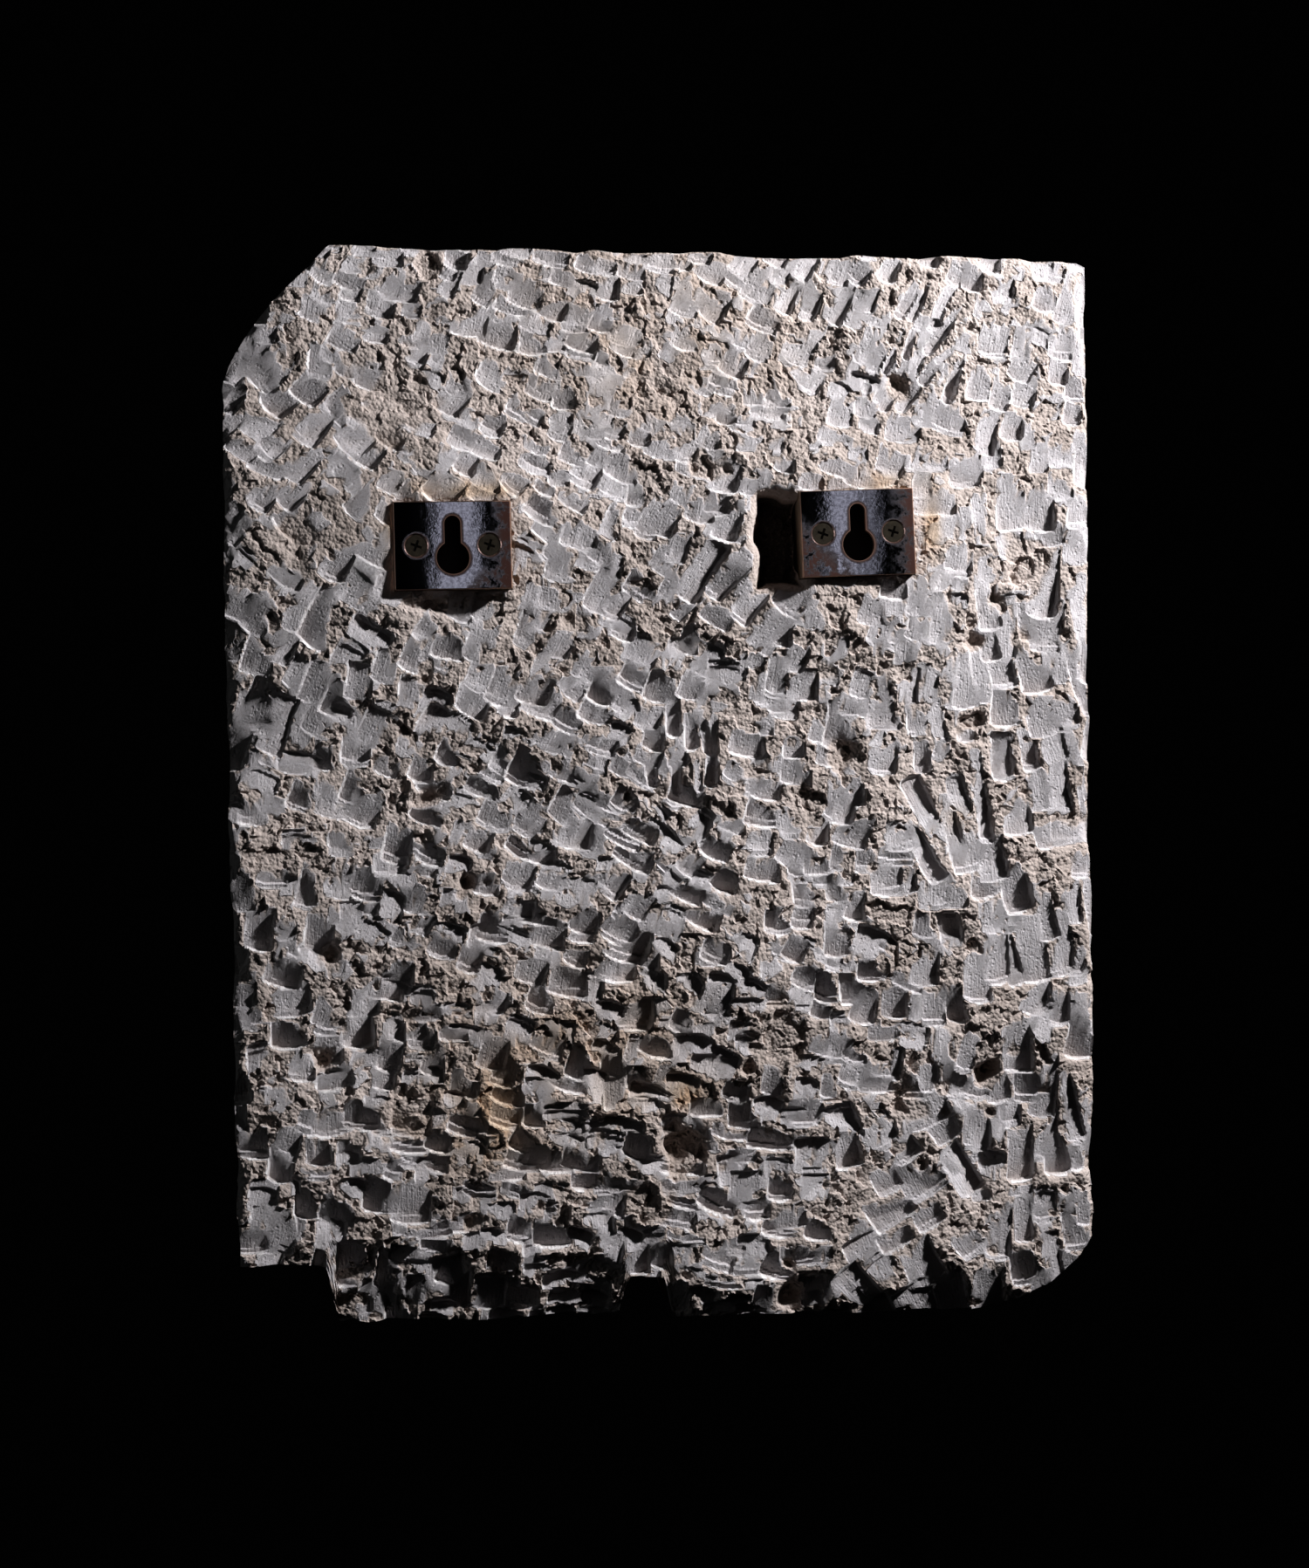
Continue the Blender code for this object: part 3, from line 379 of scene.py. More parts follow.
def chisel_cuts():
    """The cuts of every zone: place, direction, width, length, depth and tilt both ways."""
    draw = np.random.default_rng(CHISEL_SEED)
    zones = np.array(CHISEL_ZONES)
    centres = zones[:, :2] * (SLAB_WIDTH, SLAB_HEIGHT)
    headings = np.radians(zones[:, 2])
    cuts = []
    for number, (_, _, _, width, length, depth, turned, broken, _) in enumerate(CHISEL_ZONES):
        along = np.array((math.cos(headings[number]), math.sin(headings[number])))
        across = np.array((-along[1], along[0]))
        rows = int(ZONE_REACH / (length * ROW_OVERLAP))
        columns = int(ZONE_REACH / (width * SIDE_OVERLAP))
        for row in range(-rows, rows + 1):
            slip = draw.uniform(-0.5, 0.5)
            for column in range(-columns, columns + 1):
                step = (row + draw.normal(0.0, ROW_JITTER)) * length * ROW_OVERLAP
                side = (column + slip + draw.normal(0.0, SIDE_JITTER)) * width * SIDE_OVERLAP
                place = centres[number] + along * step + across * side
                away = np.hypot(*(centres - place).T) / zones[:, 8]
                away = away * (1.0 + BORDER_JITTER * draw.normal(size=len(zones)))
                turn = draw.normal(0.0, TURN_JITTER)
                shape = draw.uniform(SIZE_LEAST, SIZE_MOST)
                tilt = np.tan(np.radians(draw.normal(TILT_MEAN, TILT_SPREAD)))
                chance = draw.uniform(size=2)
                if np.argmin(away) != number:
                    continue
                spall = 0.5 + 0.5 * crumble(place[:1], place[1:], 34.0, 90, 2)[0]
                if chance[0] < BROKEN_SHARE * broken * (0.25 + 2.2 * max(spall - 0.35, 0.0)):
                    continue
                pull = 1.0 / (away + 8.0) ** 3
                blend = math.atan2((pull * np.sin(headings)).sum(), (pull * np.cos(headings)).sum())
                angle = OWN_HEADING * headings[number] + (1.0 - OWN_HEADING) * blend + math.radians(turn)
                if chance[1] < turned:
                    angle += math.pi
                    shape[2] *= TURNED_DEPTH
                deep = CUT_DEPTH * depth * shape[2]
                cuts.append((*place, angle, width * shape[0], length * shape[1], deep, *tilt))
    draw.shuffle(cuts)
    return cuts


def pit_share(x, z):
    """1 in the pit that broke out beside the right hanger, 0 outside it, and steep sides between."""
    right = SEATS["right"]
    from_x = np.abs(x - (right[0] - SLAB_LEFT) - PIT_PLACE[0])
    from_z = np.abs(z - (right[1] - SEAT_ABOVE_CENTRE - SLAB_BOTTOM) - PIT_PLACE[1])
    inset = np.minimum(PIT_HALF[0] - from_x, PIT_HALF[1] - from_z)
    return rise(inset + PIT_RAGGED * smooth_noise(x, z, 8.0, 16), -1.5, 2.5)


def back_base(x, z):
    """Depth of the uncut back behind the hanger plates' outer faces."""
    depth = BACK_TO_WALL - CUT_MEAN + swells(x, z, BACK_SWELLS)
    for name, (seat_x, seat_z) in SEATS.items():
        for dx, dz, spread_x, spread_z, level in GROUND[name]:
            from_x = (x - (seat_x - SLAB_LEFT + dx)) / spread_x
            from_z = (z - (seat_z - SEAT_ABOVE_CENTRE - SLAB_BOTTOM + dz)) / spread_z
            depth = depth + (level - depth) * np.exp(-(from_x ** 2 + from_z ** 2) ** 2)
    depth = depth + PIT_DEPTH * pit_share(x, z)
    to_right = rise(x, NOTCH_START - 20.0, NOTCH_END + 10.0)
    break_line = BREAK_RISE + (BREAK_RISE_RIGHT - BREAK_RISE) * to_right
    break_line = break_line + swells(x, 0.0 * x, BREAK_LINE_WAVES) + 1.5 * fracture(x, z, 9.0, 15)
    receding = LEDGE_SLOPE * np.maximum(break_line - z, 0.0)
    for lowered in (1.0, LEDGE_SHARE):
        receding = receding + LEDGE_DROP * rise(lowered * break_line - z, -1.0, 2.5)
    depth = depth + receding * rise(x, STUB_END - 4.0, STUB_END + 4.0)
    inset = np.minimum(x - left_edge(z, 1.0), right_edge(z) - x)
    inset = np.minimum(inset, SLAB_HEIGHT - top_drop(x) - z)
    return depth + EDGE_DROP * np.clip(1.0 - inset / EDGE_RUN, 0.0, 1.0) ** 2


def broken_out(x, z, base):
    """Depth of the patches that broke out under the blade, and how far each point belongs to one."""
    torn = np.clip((crumble(x, z, 22.0, 130, 3) - TORN_FROM) / TORN_OVER, 0.0, 1.0)
    depth = base + BROKEN_DEPTH + TORN_DEPTH * torn
    ragged = 1.0 + 0.5 * smooth_noise(x, z, 6.0, 140)
    for share_x, share_z, spread, deeper in BREAKS:
        away = np.hypot(x - share_x * SLAB_WIDTH, z - share_z * SLAB_HEIGHT) / spread * ragged
        inside = np.exp(-away ** 2)
        torn = np.maximum(torn, np.clip(1.8 * inside - 0.4, 0.0, 1.0))
        depth = depth + deeper * inside
    return depth, torn


def stained(x, z):
    """How strongly ochre stains each point of the back, in soft-edged mottled patches."""
    share = np.zeros_like(x)
    for stain_x, stain_z, spread_x, spread_z, strength in STAINS:
        away = ((x - stain_x) / spread_x) ** 2 + ((z - stain_z) / spread_z) ** 2
        share = share + strength * np.exp(-away)
    return share * np.clip(0.9 + 0.9 * crumble(x, z, 12.0, 150, 3), 0.0, 1.6)


def local_mean(field, reach):
    """A grid's values averaged twice over a square of 2 reach + 1 points a side."""
    size = 2 * reach + 1
    for axis in (0, 1, 0, 1):
        edge = [(reach, reach) if axis == turn else (0, 0) for turn in (0, 1)]
        total = np.cumsum(np.pad(field, edge, mode="edge"), axis=axis)
        total = np.insert(total, 0, 0.0, axis=axis)
        field = (np.take(total, np.arange(size, total.shape[axis]), axis=axis)
                 - np.take(total, np.arange(0, total.shape[axis] - size), axis=axis)) / size
    return field


def kept_off_wall(depth):
    """Eases depths near the wall so that the stone stays behind the plates' outer faces."""
    over = depth - NEAREST_TO_WALL
    return NEAREST_TO_WALL + 0.5 * (over + np.sqrt(over ** 2 + WALL_EASING ** 2))


def tooled_back(x, z):
    """Depth of the tooled back, and its masks by name: what the chisel left at each point."""
    wander_x = x + swells(x, z, WANDER_X)
    wander_z = z + swells(x, z, WANDER_Z)
    base = back_base(x, z)
    rough = sum(high * fracture(wander_x, wander_z, cell, seed) for high, cell, seed in ROUGH_FACETS)
    depth = base + BROKEN_DEPTH + rough
    clean, bruised_highlight, stroke_across, stroke_along = np.zeros((4, *x.shape))
    cuts = np.array(chisel_cuts())
    cuts = cuts[pit_share(cuts[:, 0], cuts[:, 1]) < 0.5]
    levels = back_base(cuts[:, 0], cuts[:, 1])
    least, most = zip(STOP_BACK, STOP_HIGH, (0.0, 1.0))
    steps = np.random.default_rng(STOP_SEED).uniform(least, most, (len(cuts), 3))
    for number, (level, values) in enumerate(zip(levels, cuts)):
        px, pz, angle, width, length, deep, roll, pitch = values
        reach = 0.5 * math.hypot(width, length) + 5.0
        near = (np.abs(x - px) < reach) & (np.abs(z - pz) < reach)
        dx = wander_x[near] - px
        dz = wander_z[near] - pz
        along = dx * math.cos(angle) + dz * math.sin(angle)
        across = dz * math.cos(angle) - dx * math.sin(angle)
        share = along / length + 0.5
        bow = (2.0 * across / width) ** 2
        scoop = 0.30 + 1.12 * np.clip(share, -0.3, 1.1) - 0.30 * np.clip(share, 0.0, 1.1) ** 2 - 0.10 * bow
        floor = level + deep * scoop + roll * across + pitch * along
        floor = np.minimum(floor, base[near] + DIG_LIMIT * deep)
        step_back, step_high, step_chance = steps[number]
        if step_chance < DOUBLE_STOPS:
            short = np.clip((along - length / 2.0 + 1.1 * bow + step_back) / 0.5, 0.0, 1.0)
            floor = floor - step_high * short
        side = np.maximum(np.abs(across) - width / 2.0 + 0.8, 0.0)
        stop = np.maximum(along - length / 2.0 + 1.3 * bow + 1.2, 0.0)
        start = np.maximum(-along - length / 2.0, 0.0)
        wall = SIDE_SLOPE * side ** 2 / (side + 0.4) + STOP_SLOPE * stop ** 2 / (stop + 0.5)
        wall = wall + ENTRY_SLOPE * start
        old = depth[near]
        taken = floor - wall > old
        depth[near] = np.where(taken, floor - wall, old)
        clean[near] = np.where(taken, 1.0, clean[near])
        # Rims are painted whiter with their wall's height: bruised stone and a painted highlight
        bruised_highlight[near] = np.where(taken, np.clip(wall / RIM_WHITE_HEIGHT, 0.0, 1.0), bruised_highlight[near])
        stroke_across[near] = np.where(taken, across + STROKE_SHIFT[0] * number, stroke_across[near])
        stroke_along[near] = np.where(taken, along + STROKE_SHIFT[1] * number, stroke_along[near])
    deep, torn = broken_out(wander_x, wander_z, base)
    deep = np.maximum(deep + rough, depth - TORN_RIM)
    depth = np.where(torn > 0.0, np.maximum(depth, depth * (1.0 - torn) + deep * torn), depth)
    clean = clean * (1.0 - torn)
    deeper = LOWER_RELIEF * (1.0 - rise(z, *LOWER_FADE))
    depth = depth + deeper * (depth - local_mean(depth, RELIEF_REACH))
    ridge = local_mean(depth, RIDGE_REACH) - depth
    limit = CHIP_LIMIT + swells(x, z, CHIP_LIMIT_WAVES)
    chipped = np.maximum(ridge - np.maximum(limit, LEAST_CHIP_LIMIT), 0.0)
    depth = depth + CHIPPED_AWAY * chipped
    clean = clean * (1.0 - CHIPPED_ROUGH * np.clip(chipped / CHIP_EDGE, 0.0, 1.0))
    crumb_high, crumb_cell, crumb_seed = CRUMB_FACETS
    crumbs = crumb_high * fracture(x, z, crumb_cell, crumb_seed) + swells(x, z, CRUMB_WAVES)
    depth = depth + (1.0 - clean) * crumbs
    flutes = smooth_noise(stroke_across, stroke_along * FLUTE_STRETCH, FLUTE_WIDTH, 5)
    depth = depth + clean * FLUTE_DEPTH * flutes
    # Hollows below their surroundings get painted shade, and the pit counts as a deep hollow so that its
    # painted shade is near black
    hollow = depth - local_mean(depth, HOLLOW_REACH) + PIT_SHADE_DEPTH * pit_share(x, z)
    masks = {"clean_cut": clean, "stroke_across": stroke_across, "stroke_along": stroke_along,
             "hollow": hollow, "ochre": stained(x, z), "bruised_highlight": bruised_highlight * clean}
    return kept_off_wall(depth), masks


# Carved face on the side turned away: a raised border and a lotus with two pairs of leaves
BORDER_WIDTH = 20.0
RELIEF_HEIGHT = 5.5
BLOOM_X = 0.50
BLOOM_Z = 0.50
BLOOM_REACH = 0.36
PETAL_ROWS = ((4, 62.0, 0.80, 0.135, 0.62), (3, 38.0, 1.00, 0.150, 1.00))
STEM_WIDTH = 0.030
LEAF_PAIRS = ((0.08, 66.0), (0.27, 58.0))
LEAF_REACH = 0.25
LEAF_WIDTH = 0.050
PAD_SLOPE = 3.5
STEM_SHARE = 0.7
LEAF_SHARE = 0.8
PETAL_BOW = 0.25
FACE_WAVE = 0.3
FACE_SMOOTHNESS = 0.9
FACE_GROUND = BACK_TO_WALL + SLAB_THICKNESS - RELIEF_HEIGHT


def leaf_shape(x, z, base_x, base_z, angle, length, width):
    """Distance inside the rim of a pointed leaf or petal, below 0 outside."""
    along = ((x - base_x) * math.sin(angle) + (z - base_z) * math.cos(angle)) / length
    across = np.abs((x - base_x) * math.cos(angle) - (z - base_z) * math.sin(angle))
    half = width * np.sin(math.pi * np.clip(along, 0.0, 1.0) ** 0.85) ** 0.8
    return np.where((along > 0.0) & (along < 1.0), half - across, -1.0)


def face_relief(x, z):
    """Height of the carved face above its sunk ground."""
    edge = np.minimum(np.minimum(x, SLAB_WIDTH - x), SLAB_HEIGHT - z)
    raised = RELIEF_HEIGHT * (1.0 - rise(edge, BORDER_WIDTH, BORDER_WIDTH + PAD_SLOPE))
    centre_x = BLOOM_X * SLAB_WIDTH
    centre_z = BLOOM_Z * SLAB_HEIGHT
    reach = BLOOM_REACH * SLAB_HEIGHT
    stem = STEM_WIDTH * SLAB_WIDTH / 2.0 - np.abs(x - centre_x)
    stem_high = STEM_SHARE * RELIEF_HEIGHT * rise(stem, -1.0, PAD_SLOPE)
    raised = np.maximum(raised, stem_high * (z < centre_z + 4.0))
    for side in (-1.0, 1.0):
        for lift, tip in LEAF_PAIRS:
            shape = leaf_shape(x, z, centre_x, lift * SLAB_HEIGHT, side * math.radians(tip),
                               LEAF_REACH * SLAB_HEIGHT, LEAF_WIDTH * SLAB_HEIGHT)
            raised = np.maximum(raised, LEAF_SHARE * RELIEF_HEIGHT * rise(shape, 0.0, PAD_SLOPE))
    for count, spread, share, width, top in PETAL_ROWS:
        for petal in range(count):
            angle = math.radians(spread) * (2.0 * petal / (count - 1) - 1.0)
            shape = leaf_shape(x, z, centre_x, centre_z, angle, reach * share, reach * width)
            inside = rise(shape, 0.0, PAD_SLOPE)
            petal_high = RELIEF_HEIGHT * (top - PETAL_BOW * rise(shape, 2.0, 14.0))
            raised = raised * (1.0 - inside) + inside * petal_high
    return raised


COLUMNS = round(SLAB_WIDTH / MESH_PITCH)
ROWS = round(SLAB_HEIGHT / MESH_PITCH)


def slab_side(mesh_data, x, y, z):
    """One grid over the slab's outline, with each point put in its place."""
    made = bmesh.ops.create_grid(mesh_data, x_segments=COLUMNS, y_segments=ROWS, size=0.5)
    places = np.stack((SLAB_LEFT + x, y, SLAB_BOTTOM + z), axis=-1) * MM
    for vertex in made["verts"]:
        column = round((vertex.co.x + 0.5) * COLUMNS)
        row = round((vertex.co.y + 0.5) * ROWS)
        vertex.co = places[row, column]
    return [edge for vertex in made["verts"] for edge in vertex.link_edges if edge.is_boundary]


def add_mesh_object(name, mesh_data):
    mesh = bpy.data.meshes.new(name)
    mesh_data.to_mesh(mesh)
    mesh_data.free()
    made = bpy.data.objects.new(name, mesh)
    bpy.context.scene.collection.objects.link(made)
    return made


back_x, back_z = slab_points(COLUMNS, ROWS, 0)
back_y, masks = tooled_back(back_x, back_z)
face_x, face_z = slab_points(COLUMNS, ROWS, 1)
face_y = FACE_GROUND + face_relief(face_x, face_z) - FACE_WAVE
face_y = face_y + FACE_WAVE * smooth_noise(face_x, face_z, 40.0, 51)
stone = bmesh.new()
rims = set(slab_side(stone, back_x, back_y, back_z) + slab_side(stone, face_x, face_y, face_z))
grid_points = len(stone.verts)
bridge = bmesh.ops.bridge_loops(stone, edges=list(rims))
ribs = [edge for edge in bridge["edges"] if edge not in rims]
bmesh.ops.subdivide_edges(stone, edges=ribs, cuts=SIDE_CUTS, use_grid_fill=True)
bmesh.ops.triangulate(stone, faces=stone.faces)
bmesh.ops.recalc_face_normals(stone, faces=stone.faces)
slab = add_mesh_object("tooled_limestone_slab", stone)

# The four sides are squared off roughly, in facets about a line half a millimetre inside the outline.
# They fade out towards the back and the face, over a run in mm.
SIDE_RELIEF = ((0.8, 9.0, 81), (0.4, 4.0, 82))
SIDE_INSET = 0.5
SIDE_FADE = 6.0
SQUARENESS = 9
points = np.empty(len(slab.data.vertices) * 3, np.float32)
slab.data.vertices.foreach_get("co", points)
points = points.reshape(-1, 3) / MM
edge_x, edge_y, edge_z = points[grid_points:].T
from_centre = points[grid_points:, ::2] - (SLAB_LEFT + SLAB_WIDTH / 2.0, SLAB_BOTTOM + SLAB_HEIGHT / 2.0)
from_centre = from_centre / (SLAB_WIDTH / 2.0, SLAB_HEIGHT / 2.0)
outward = from_centre ** SQUARENESS
outward = outward / np.maximum(np.hypot(*outward.T), 1e-9)[:, None]
run = np.where(np.abs(outward[:, 0]) > 0.7, edge_z, edge_x)
to_rim = np.minimum(edge_y - BACK_TO_WALL, BACK_TO_WALL + SLAB_THICKNESS - edge_y)
faded = np.clip(to_rim / SIDE_FADE, 0.0, 1.0)
relief = sum(high * fracture(run, edge_y + 300.0, cell, seed) for high, cell, seed in SIDE_RELIEF)
points[grid_points:, ::2] -= outward * (faded * (relief + SIDE_INSET))[:, None]
slab.data.vertices.foreach_set("co", (points * MM).astype(np.float32).ravel())

# Each mask becomes one number a point for the stone's material. The carved face counts as smooth
# stone, and the squared sides as broken and darkened as if they were hollows.
one_side = back_x.size
for name, values in masks.items():
    whole = np.zeros(len(points), np.float32)
    whole[:one_side] = values.ravel()
    if name == "clean_cut":
        whole[one_side:grid_points] = FACE_SMOOTHNESS
    elif name == "hollow":
        # The squared sides are darkened with the hollows' painted shade colour
        whole[grid_points:] = SIDE_DARKENING
    slab.data.attributes.new(name, "FLOAT", "POINT").data.foreach_set("value", whole)

thin_out = slab.modifiers.new("thin out", "DECIMATE")
thin_out.ratio = MOST_TRIANGLES / len(slab.data.polygons)

# A socket for each hanger block, cut a little wider than the block and open towards the wall
SOCKET_WIDTH = 51.5
SOCKET_HEIGHT = 38.8
SOCKET_DEPTH = 25.85


def hanger_place(name):
    """From a hanger's own frame, with its plate's outer face centred on the origin, to the slab's."""
    seat_x, seat_z = SEATS[name]
    seat = Matrix.Translation((seat_x * MM, 0.0, seat_z * MM)) @ Matrix.Rotation(-TILTS[name], 4, "Y")
    return seat @ Matrix.Translation((0.0, 0.0, -SEAT_ABOVE_CENTRE * MM))


for name in SEATS:
    socket = bmesh.new()
    size = Matrix.Diagonal((SOCKET_WIDTH * MM, 2.0 * SOCKET_DEPTH * MM, SOCKET_HEIGHT * MM, 1.0))
    bmesh.ops.create_cube(socket, size=1.0, matrix=size)
    cutter = add_mesh_object("socket_" + name, socket)
    cutter.matrix_world = hanger_place(name)
    cutter.hide_render = True
    cutter.display_type = "WIRE"
    opening = slab.modifiers.new("socket " + name, "BOOLEAN")
    opening.operation = "DIFFERENCE"
    opening.solver = "MANIFOLD"
    opening.object = cutter
bpy.context.view_layer.update()
finished = bpy.data.meshes.new_from_object(slab.evaluated_get(bpy.context.evaluated_depsgraph_get()))
slab.modifiers.clear()
slab.data = finished
for name in SEATS:
    bpy.data.objects.remove(bpy.data.objects["socket_" + name])

# Edges that turn by less than this are shaded smooth
SMOOTH_TURN = math.radians(28.0)
finished.shade_smooth()
finished.set_sharp_from_angle(angle=SMOOTH_TURN)


def colour(hex_text):
    """An sRGB hex colour as linear red, green, blue and alpha."""
    parts = [int(hex_text[start:start + 2], 16) / 255.0 for start in (1, 3, 5)]
    return (*(((part + 0.055) / 1.055) ** 2.4 if part > 0.04045 else part / 12.92 for part in parts), 1.0)


def new_material(name):
    made = bpy.data.materials.new(name)
    made.use_nodes = True
    return made, made.node_tree, made.node_tree.nodes["Principled BSDF"]


def per_metre(millimetres):
    """How often a pattern of this size comes in a metre, for a texture's scale."""
    return 1.0 / (millimetres * MM)


def add_node(tree, kind, sockets, output=0, **settings):
    """Adds one node and gives one of its outputs. A socket gets a value, or a link from an output."""
    made = tree.nodes.new("ShaderNode" + kind)
    for name, value in settings.items():
        setattr(made, name, value)
    for name, value in sockets.items():
        if isinstance(value, bpy.types.NodeSocket):
            tree.links.new(value, made.inputs[name])
        else:
            made.inputs[name].default_value = value
    return made.outputs[output]


# Limestone is matt and reflects hardly at all. A clean cut shows cool and pale with fine flutes along
# the stroke, its rims are painted nearly white as bruised stone and as a painted highlight, broken stone
# is browner and crumbly, and hollows get painted shade.
CUT_PALE, CUT_DEEP = colour("#C6C1C5"), colour("#B6B1B5")
BROKEN_PALE, BROKEN_DEEP = colour("#B8ABA6"), colour("#A59892")
# Nearly white rims: bruised stone, and a painted highlight of the walls
RIM_WHITE_HIGHLIGHT = colour("#E2DEDF")
# Painted shade for the hollows and for the pit, and the stone's dark grit
HOLLOW_SHADE, PIT_SHADE, DARK_GRIT = colour("#87766B"), colour("#201B18"), colour("#8C7F79")
OCHRE_PALE, OCHRE_DEEP = colour("#F4E2CB"), colour("#E0C49C")

# Patterns in mm, and how high each stands in the bump. The stone's real grit and pores are finer, under
# about half a millimetre, and are drawn coarser so that they show. Pores are pits in the middle of their
# cells, and crumbs fall away from the middle of theirs, so their height is negative.
VEIN_SIZE = 55.0
PATCH_SIZE = 9.0
GRIT_SIZE = 1.1
PORE_SIZE = 2.6
CRUMB_SIZE = 1.7
FLUTES_PER_MM = 1.3
FINE_STRETCH = 0.12
FLUTE_HEIGHT = 0.32
GRIT_HEIGHT = 0.36
PORE_HEIGHT = 0.20
CRUMB_HEIGHT = -0.55

limestone, tree, shader = new_material("limestone, chiselled and broken")
place = add_node(tree, "TexCoord", {}, "Object")
clean_cut, bruised_highlight, across, along, hollow, ochre = (
    add_node(tree, "Attribute", {}, "Fac", attribute_name=name)
    for name in ("clean_cut", "bruised_highlight", "stroke_across", "stroke_along", "hollow", "ochre"))
veins, patches, grit = (
    add_node(tree, "TexNoise", {"Vector": place, "Scale": per_metre(size), "Detail": 3.0,
                                "Roughness": rough})
    for size, rough in ((VEIN_SIZE, 0.5), (PATCH_SIZE, 0.5), (GRIT_SIZE, 0.65)))
pores, crumbs = (
    add_node(tree, "TexVoronoi", {"Vector": place, "Scale": per_metre(size), "Randomness": 1.0})
    for size in (PORE_SIZE, CRUMB_SIZE))

# Where the stone is cut clean, with an uneven edge to each cut
uneven = add_node(tree, "Math", {0: patches, 1: 0.5}, operation="SUBTRACT")
uneven = add_node(tree, "Math", {0: uneven, 1: 0.5}, operation="MULTIPLY")
uneven = add_node(tree, "Math", {0: clean_cut, 1: uneven}, operation="ADD")
sharply_cut = add_node(tree, "MapRange", {"Value": uneven, "From Min": 0.45, "From Max": 0.85})
broken = add_node(tree, "Math", {0: 1.0, 1: sharply_cut}, operation="SUBTRACT")

# Pale and deep stone, then tints laid over it in order. Each row is a mask with its start and end, the
# share of the tint at each of them, the tint, and how it is laid on.
vein_share = add_node(tree, "MapRange", {"Value": veins, "From Min": 0.35, "From Max": 0.65})
broken_tint = add_node(tree, "Mix", {0: vein_share, 6: BROKEN_PALE, 7: BROKEN_DEEP}, 2, data_type="RGBA")
cut_tint = add_node(tree, "Mix", {0: vein_share, 6: CUT_PALE, 7: CUT_DEEP}, 2, data_type="RGBA")
cut_tint = add_node(tree, "Mix", {0: bruised_highlight, 6: cut_tint, 7: RIM_WHITE_HIGHLIGHT}, 2, data_type="RGBA")
tint = add_node(tree, "Mix", {0: sharply_cut, 6: broken_tint, 7: cut_tint}, 2, data_type="RGBA")
for mask, start, end, first, last, layer, way in (
        # Painted shade: hollows darker brown, and the pit beside the right hanger near black
        (hollow, 0.3, 2.6, 0.0, 0.55, HOLLOW_SHADE, "MIX"),
        (hollow, 4.5, 8.0, 0.0, 0.9, PIT_SHADE, "MIX"),
        (grit, 0.30, 0.50, 0.35, 0.0, DARK_GRIT, "MIX"),
        (ochre, 0.0, 1.0, 0.0, 1.0, OCHRE_PALE, "MULTIPLY"),
        (ochre, 0.75, 1.50, 0.0, 0.3, OCHRE_DEEP, "MULTIPLY")):
    share = add_node(tree, "MapRange", {"Value": mask, "From Min": start, "From Max": end,
                                        "To Min": first, "To Max": last})
    tint = add_node(tree, "Mix", {0: share, 6: tint, 7: layer}, 2, data_type="RGBA", blend_type=way)
tree.links.new(tint, shader.inputs["Base Color"])
shader.inputs["Roughness"].default_value = 0.90
shader.inputs["Specular IOR Level"].default_value = 0.15

# Fine relief: flutes along each stroke, grit, pores and crumbs
stretched = add_node(tree, "Math", {0: along, 1: FINE_STRETCH}, operation="MULTIPLY")
stroke = add_node(tree, "CombineXYZ", {"X": across, "Y": stretched})
flutes = add_node(tree, "TexNoise", {"Vector": stroke, "Scale": FLUTES_PER_MM, "Detail": 2.0})
flutes = add_node(tree, "Math", {0: flutes, 1: sharply_cut}, operation="MULTIPLY")
pores = add_node(tree, "MapRange", {"Value": pores, "From Min": 0.16, "From Max": 0.30})
crumbs = add_node(tree, "Math", {0: crumbs, 1: broken}, operation="MULTIPLY")
height = 0.0
for pattern, high in ((flutes, FLUTE_HEIGHT), (grit, GRIT_HEIGHT),
                      (pores, PORE_HEIGHT), (crumbs, CRUMB_HEIGHT)):
    height = add_node(tree, "Math", {0: pattern, 1: high * MM, 2: height}, operation="MULTIPLY_ADD")
bump = add_node(tree, "Bump", {"Height": height, "Strength": 1.0, "Distance": 1.0})
tree.links.new(bump, shader.inputs["Normal"])
slab.data.materials.clear()
slab.data.materials.append(limestone)
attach(slab, "root")
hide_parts("limestone_slab")

# Keyhole plates
# Each is a length of dark bronze flat bar with a keyhole and two countersunk holes, screwed on the block
# behind it. Its black wax patina is worn through to red brown along the edges and round the holes.
PLATE_HALF_WIDTH = 25.4
PLATE_HALF_HEIGHT = 19.05
KEYHOLE_SEAT_RADIUS = 3.55
KEYHOLE_HEAD_RADIUS = 7.2
KEYHOLE_HEAD_BELOW = 5.3
SCREW_APART = 15.85
SCREW_HEAD_RADIUS = 4.7
BLOTCH_SIZE = 7.0
SPECK_SIZE = 1.6
BLOTCH_HEIGHT = 0.018
SPECK_HEIGHT = 0.003
METAL_PALE, METAL_DEEP = colour("#8E8C90"), colour("#626064")
RED_BROWN = colour("#4A2E28")
RUBBED_METAL = colour("#A07C66")

# Where each plate has gone red brown: along its right side from and to, and across a lower corner,
# leaning to the right (1) or the left (-1), from and to, in mm from its centre
WORN_SIDES = {"left": (16.0, 22.0, 1.0, 20.0, 32.0), "right": (13.0, 24.0, -1.0, 14.0, 30.0)}

